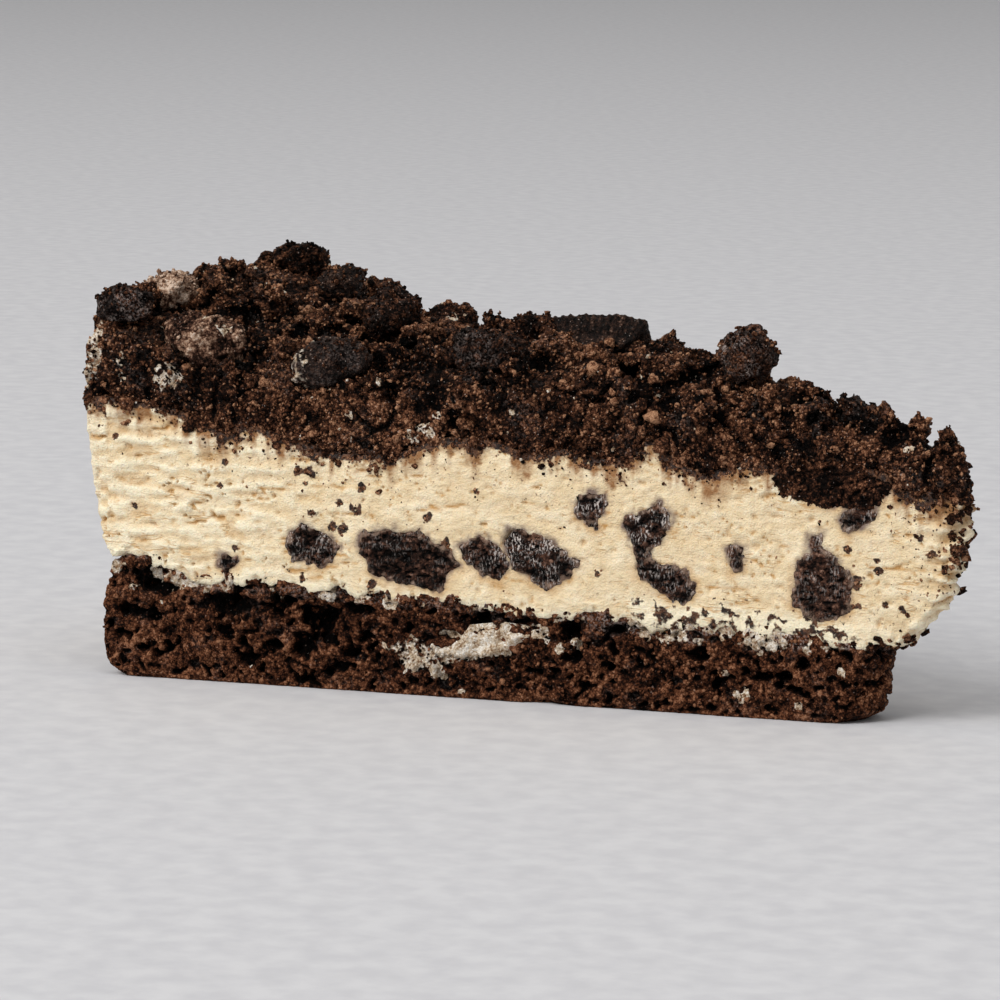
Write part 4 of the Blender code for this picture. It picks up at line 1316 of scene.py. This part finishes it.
def faces_front(points, normals):
    return step(normals @ OUT_OF_FRONT, 0.4, 0.7) * (normals[:, 2] < 0.6)


def faces_back(points, normals):
    return step(normals @ OUT_OF_BACK, 0.4, 0.7) * (normals[:, 2] < 0.6)


def faces_rim(points, normals):
    return face_shares(points, normals)[2] * (np.abs(normals[:, 2]) < 0.6)


def open_cake(points, normals):
    side = np.maximum(*face_shares(points, normals)[:2])
    return side * (np.abs(normals[:, 2]) < 0.7) * step(points[:, 2], 0.3, 1.5)


def tip_edge(points, normals):
    distance = distance_of(points)
    lower_edge = step(points[:, 2], 12.5, 10.8) * step(distance, 16.0, 13.0) * (normals[:, 2] < 0.2)
    return step(distance, 4.9, 4.1) * (np.abs(normals[:, 2]) < 0.8) + lower_edge


def strew_crumbs(topping, filling, base, skyline, crumbs, cake):
    """Loose crumbs on the heap, on the cut of the base, and on the cream under the heap and at the tip."""

    def stained_cream(points, normals):
        under = np.maximum(skyline.above(points), 0)
        side, along, _ = outsides(points)
        density = 0.5 * np.exp(-under / 0.9) + 0.9 * step(past_trail(points, under), 0.6, 0.1)
        density += 0.05 * np.exp(-under / 4.0) + 0.004 * step(along, 100, 85)
        density += 0.3 * step(along, 13, 2) * (side != RIM)
        return sum(face_shares(points, normals)) * (np.abs(normals[:, 2]) < 0.6) * density

    def on_ledge(points, normals):
        near_heap = step(np.abs(skyline.above(points)), 2.4, 1.2) * step(outsides(points)[2], 1.9, 0.9)
        return near_heap * step(normals[:, 2], 0.1, 0.5)

    heap = (topping, crumbs, "crumbs")
    cream = (filling, crumbs, "crumbs")
    heap_tones = (0.27, 0.98)
    side_widths = (0.3, 0.75)
    # As (name, bed, count, widths, where, seed, tones, share of pale ones, share sunk, flatness, fineness)
    for name, bed, *rest in (
        ("crumbs_top_fine", heap, 9000, (0.33, 0.8), faces_up, 20, heap_tones, 0.007, 0.4),
        ("crumbs_top_coarse", heap, 480, (0.9, 1.9), faces_up, 21, heap_tones, 0.0, 0.4, 1.0, 2),
        ("crumbs_front", heap, 6500, side_widths, faces_front, 22, heap_tones, 0.007, 0.4),
        ("crumbs_back", heap, 6500, side_widths, faces_back, 23, heap_tones, 0.007, 0.4),
        ("crumbs_rim", heap, 3200, side_widths, faces_rim, 24, heap_tones, 0.007, 0.4),
        ("cake_crumbs", (base, cake, "base_cake"), 2600, (0.3, 1.0), open_cake, 31, (0.3, 0.88), 0.005, 0.5),
        ("specks_fine", cream, 2800, (0.2, 0.5), stained_cream, 41, (0.5, 1.0), 0.0, 0.4, 0.45),
        ("specks", cream, 300, (0.45, 1.2), stained_cream, 42, (0.5, 0.95), 0.0, 0.42, 0.4, 2),
        ("ledge_fine", cream, 1700, (0.35, 0.95), on_ledge, 43, (0.36, 0.95), 0.01, 0.3),
        ("ledge_coarse", cream, 170, (0.9, 1.7), on_ledge, 44, (0.4, 0.9), 0.0, 0.42, 0.8, 2),
        ("tip_crumbs", cream, 130, (0.5, 1.4), tip_edge, 51, (0.46, 0.92), 0.0, 0.42, 0.8, 2),
    ):
        strew(name, *bed, *rest)


def make_all():
    make_camera()
    make_stage()
    matter = {"crumbs": grainy_material("cookie_crumbs", CRUMB_STOPS, 0.46, 0.5),
              "cake": grainy_material("cake", CAKE_STOPS, 0.5, 0.66, 0.05, 0.3),
              "chunk": grainy_material("cookie_chunk", CHUNK_STOPS, 0.42, 0.46, 0.12),
              "tan": grainy_material("tan_crumbs", TAN_STOPS, 0.6, 0.6)}
    cut_matter = cookie_material()
    names = sorted(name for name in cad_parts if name.startswith("cookie_"))
    sections = [Section(name) for name in names]
    streak = Section("cream_streak")

    topping, skyline = make_topping(matter["crumbs"])
    filling, cream_line = make_filling(filling_material(), sections, skyline)
    base = make_base(matter["cake"], streak, cream_line)
    for number, section in enumerate(sections):
        make_section(section, number, matter["crumbs"] if section.name == "cookie_11" else cut_matter)
    make_streak(streak, matter["cake"])
    for number, (node, look) in enumerate(LUMPS.items()):
        lump = make_lump(node, look, 100 + number, matter[look.matter])
        loose_matter = matter["crumbs" if look.matter == "chunk" else look.matter]
        strew(node + "_grains", lump, loose_matter, "crumbs", 100, (0.35, 0.95), upper_half, 200 + number,
              (look.tone - 0.12, look.tone + 0.3), 0.01, 0.25)
    make_wafer(matter["chunk"])
    make_cream_crumbs(filling, matter["crumbs"])
    strew_crumbs(topping, filling, base, skyline, matter["crumbs"], matter["cake"])


make_all()
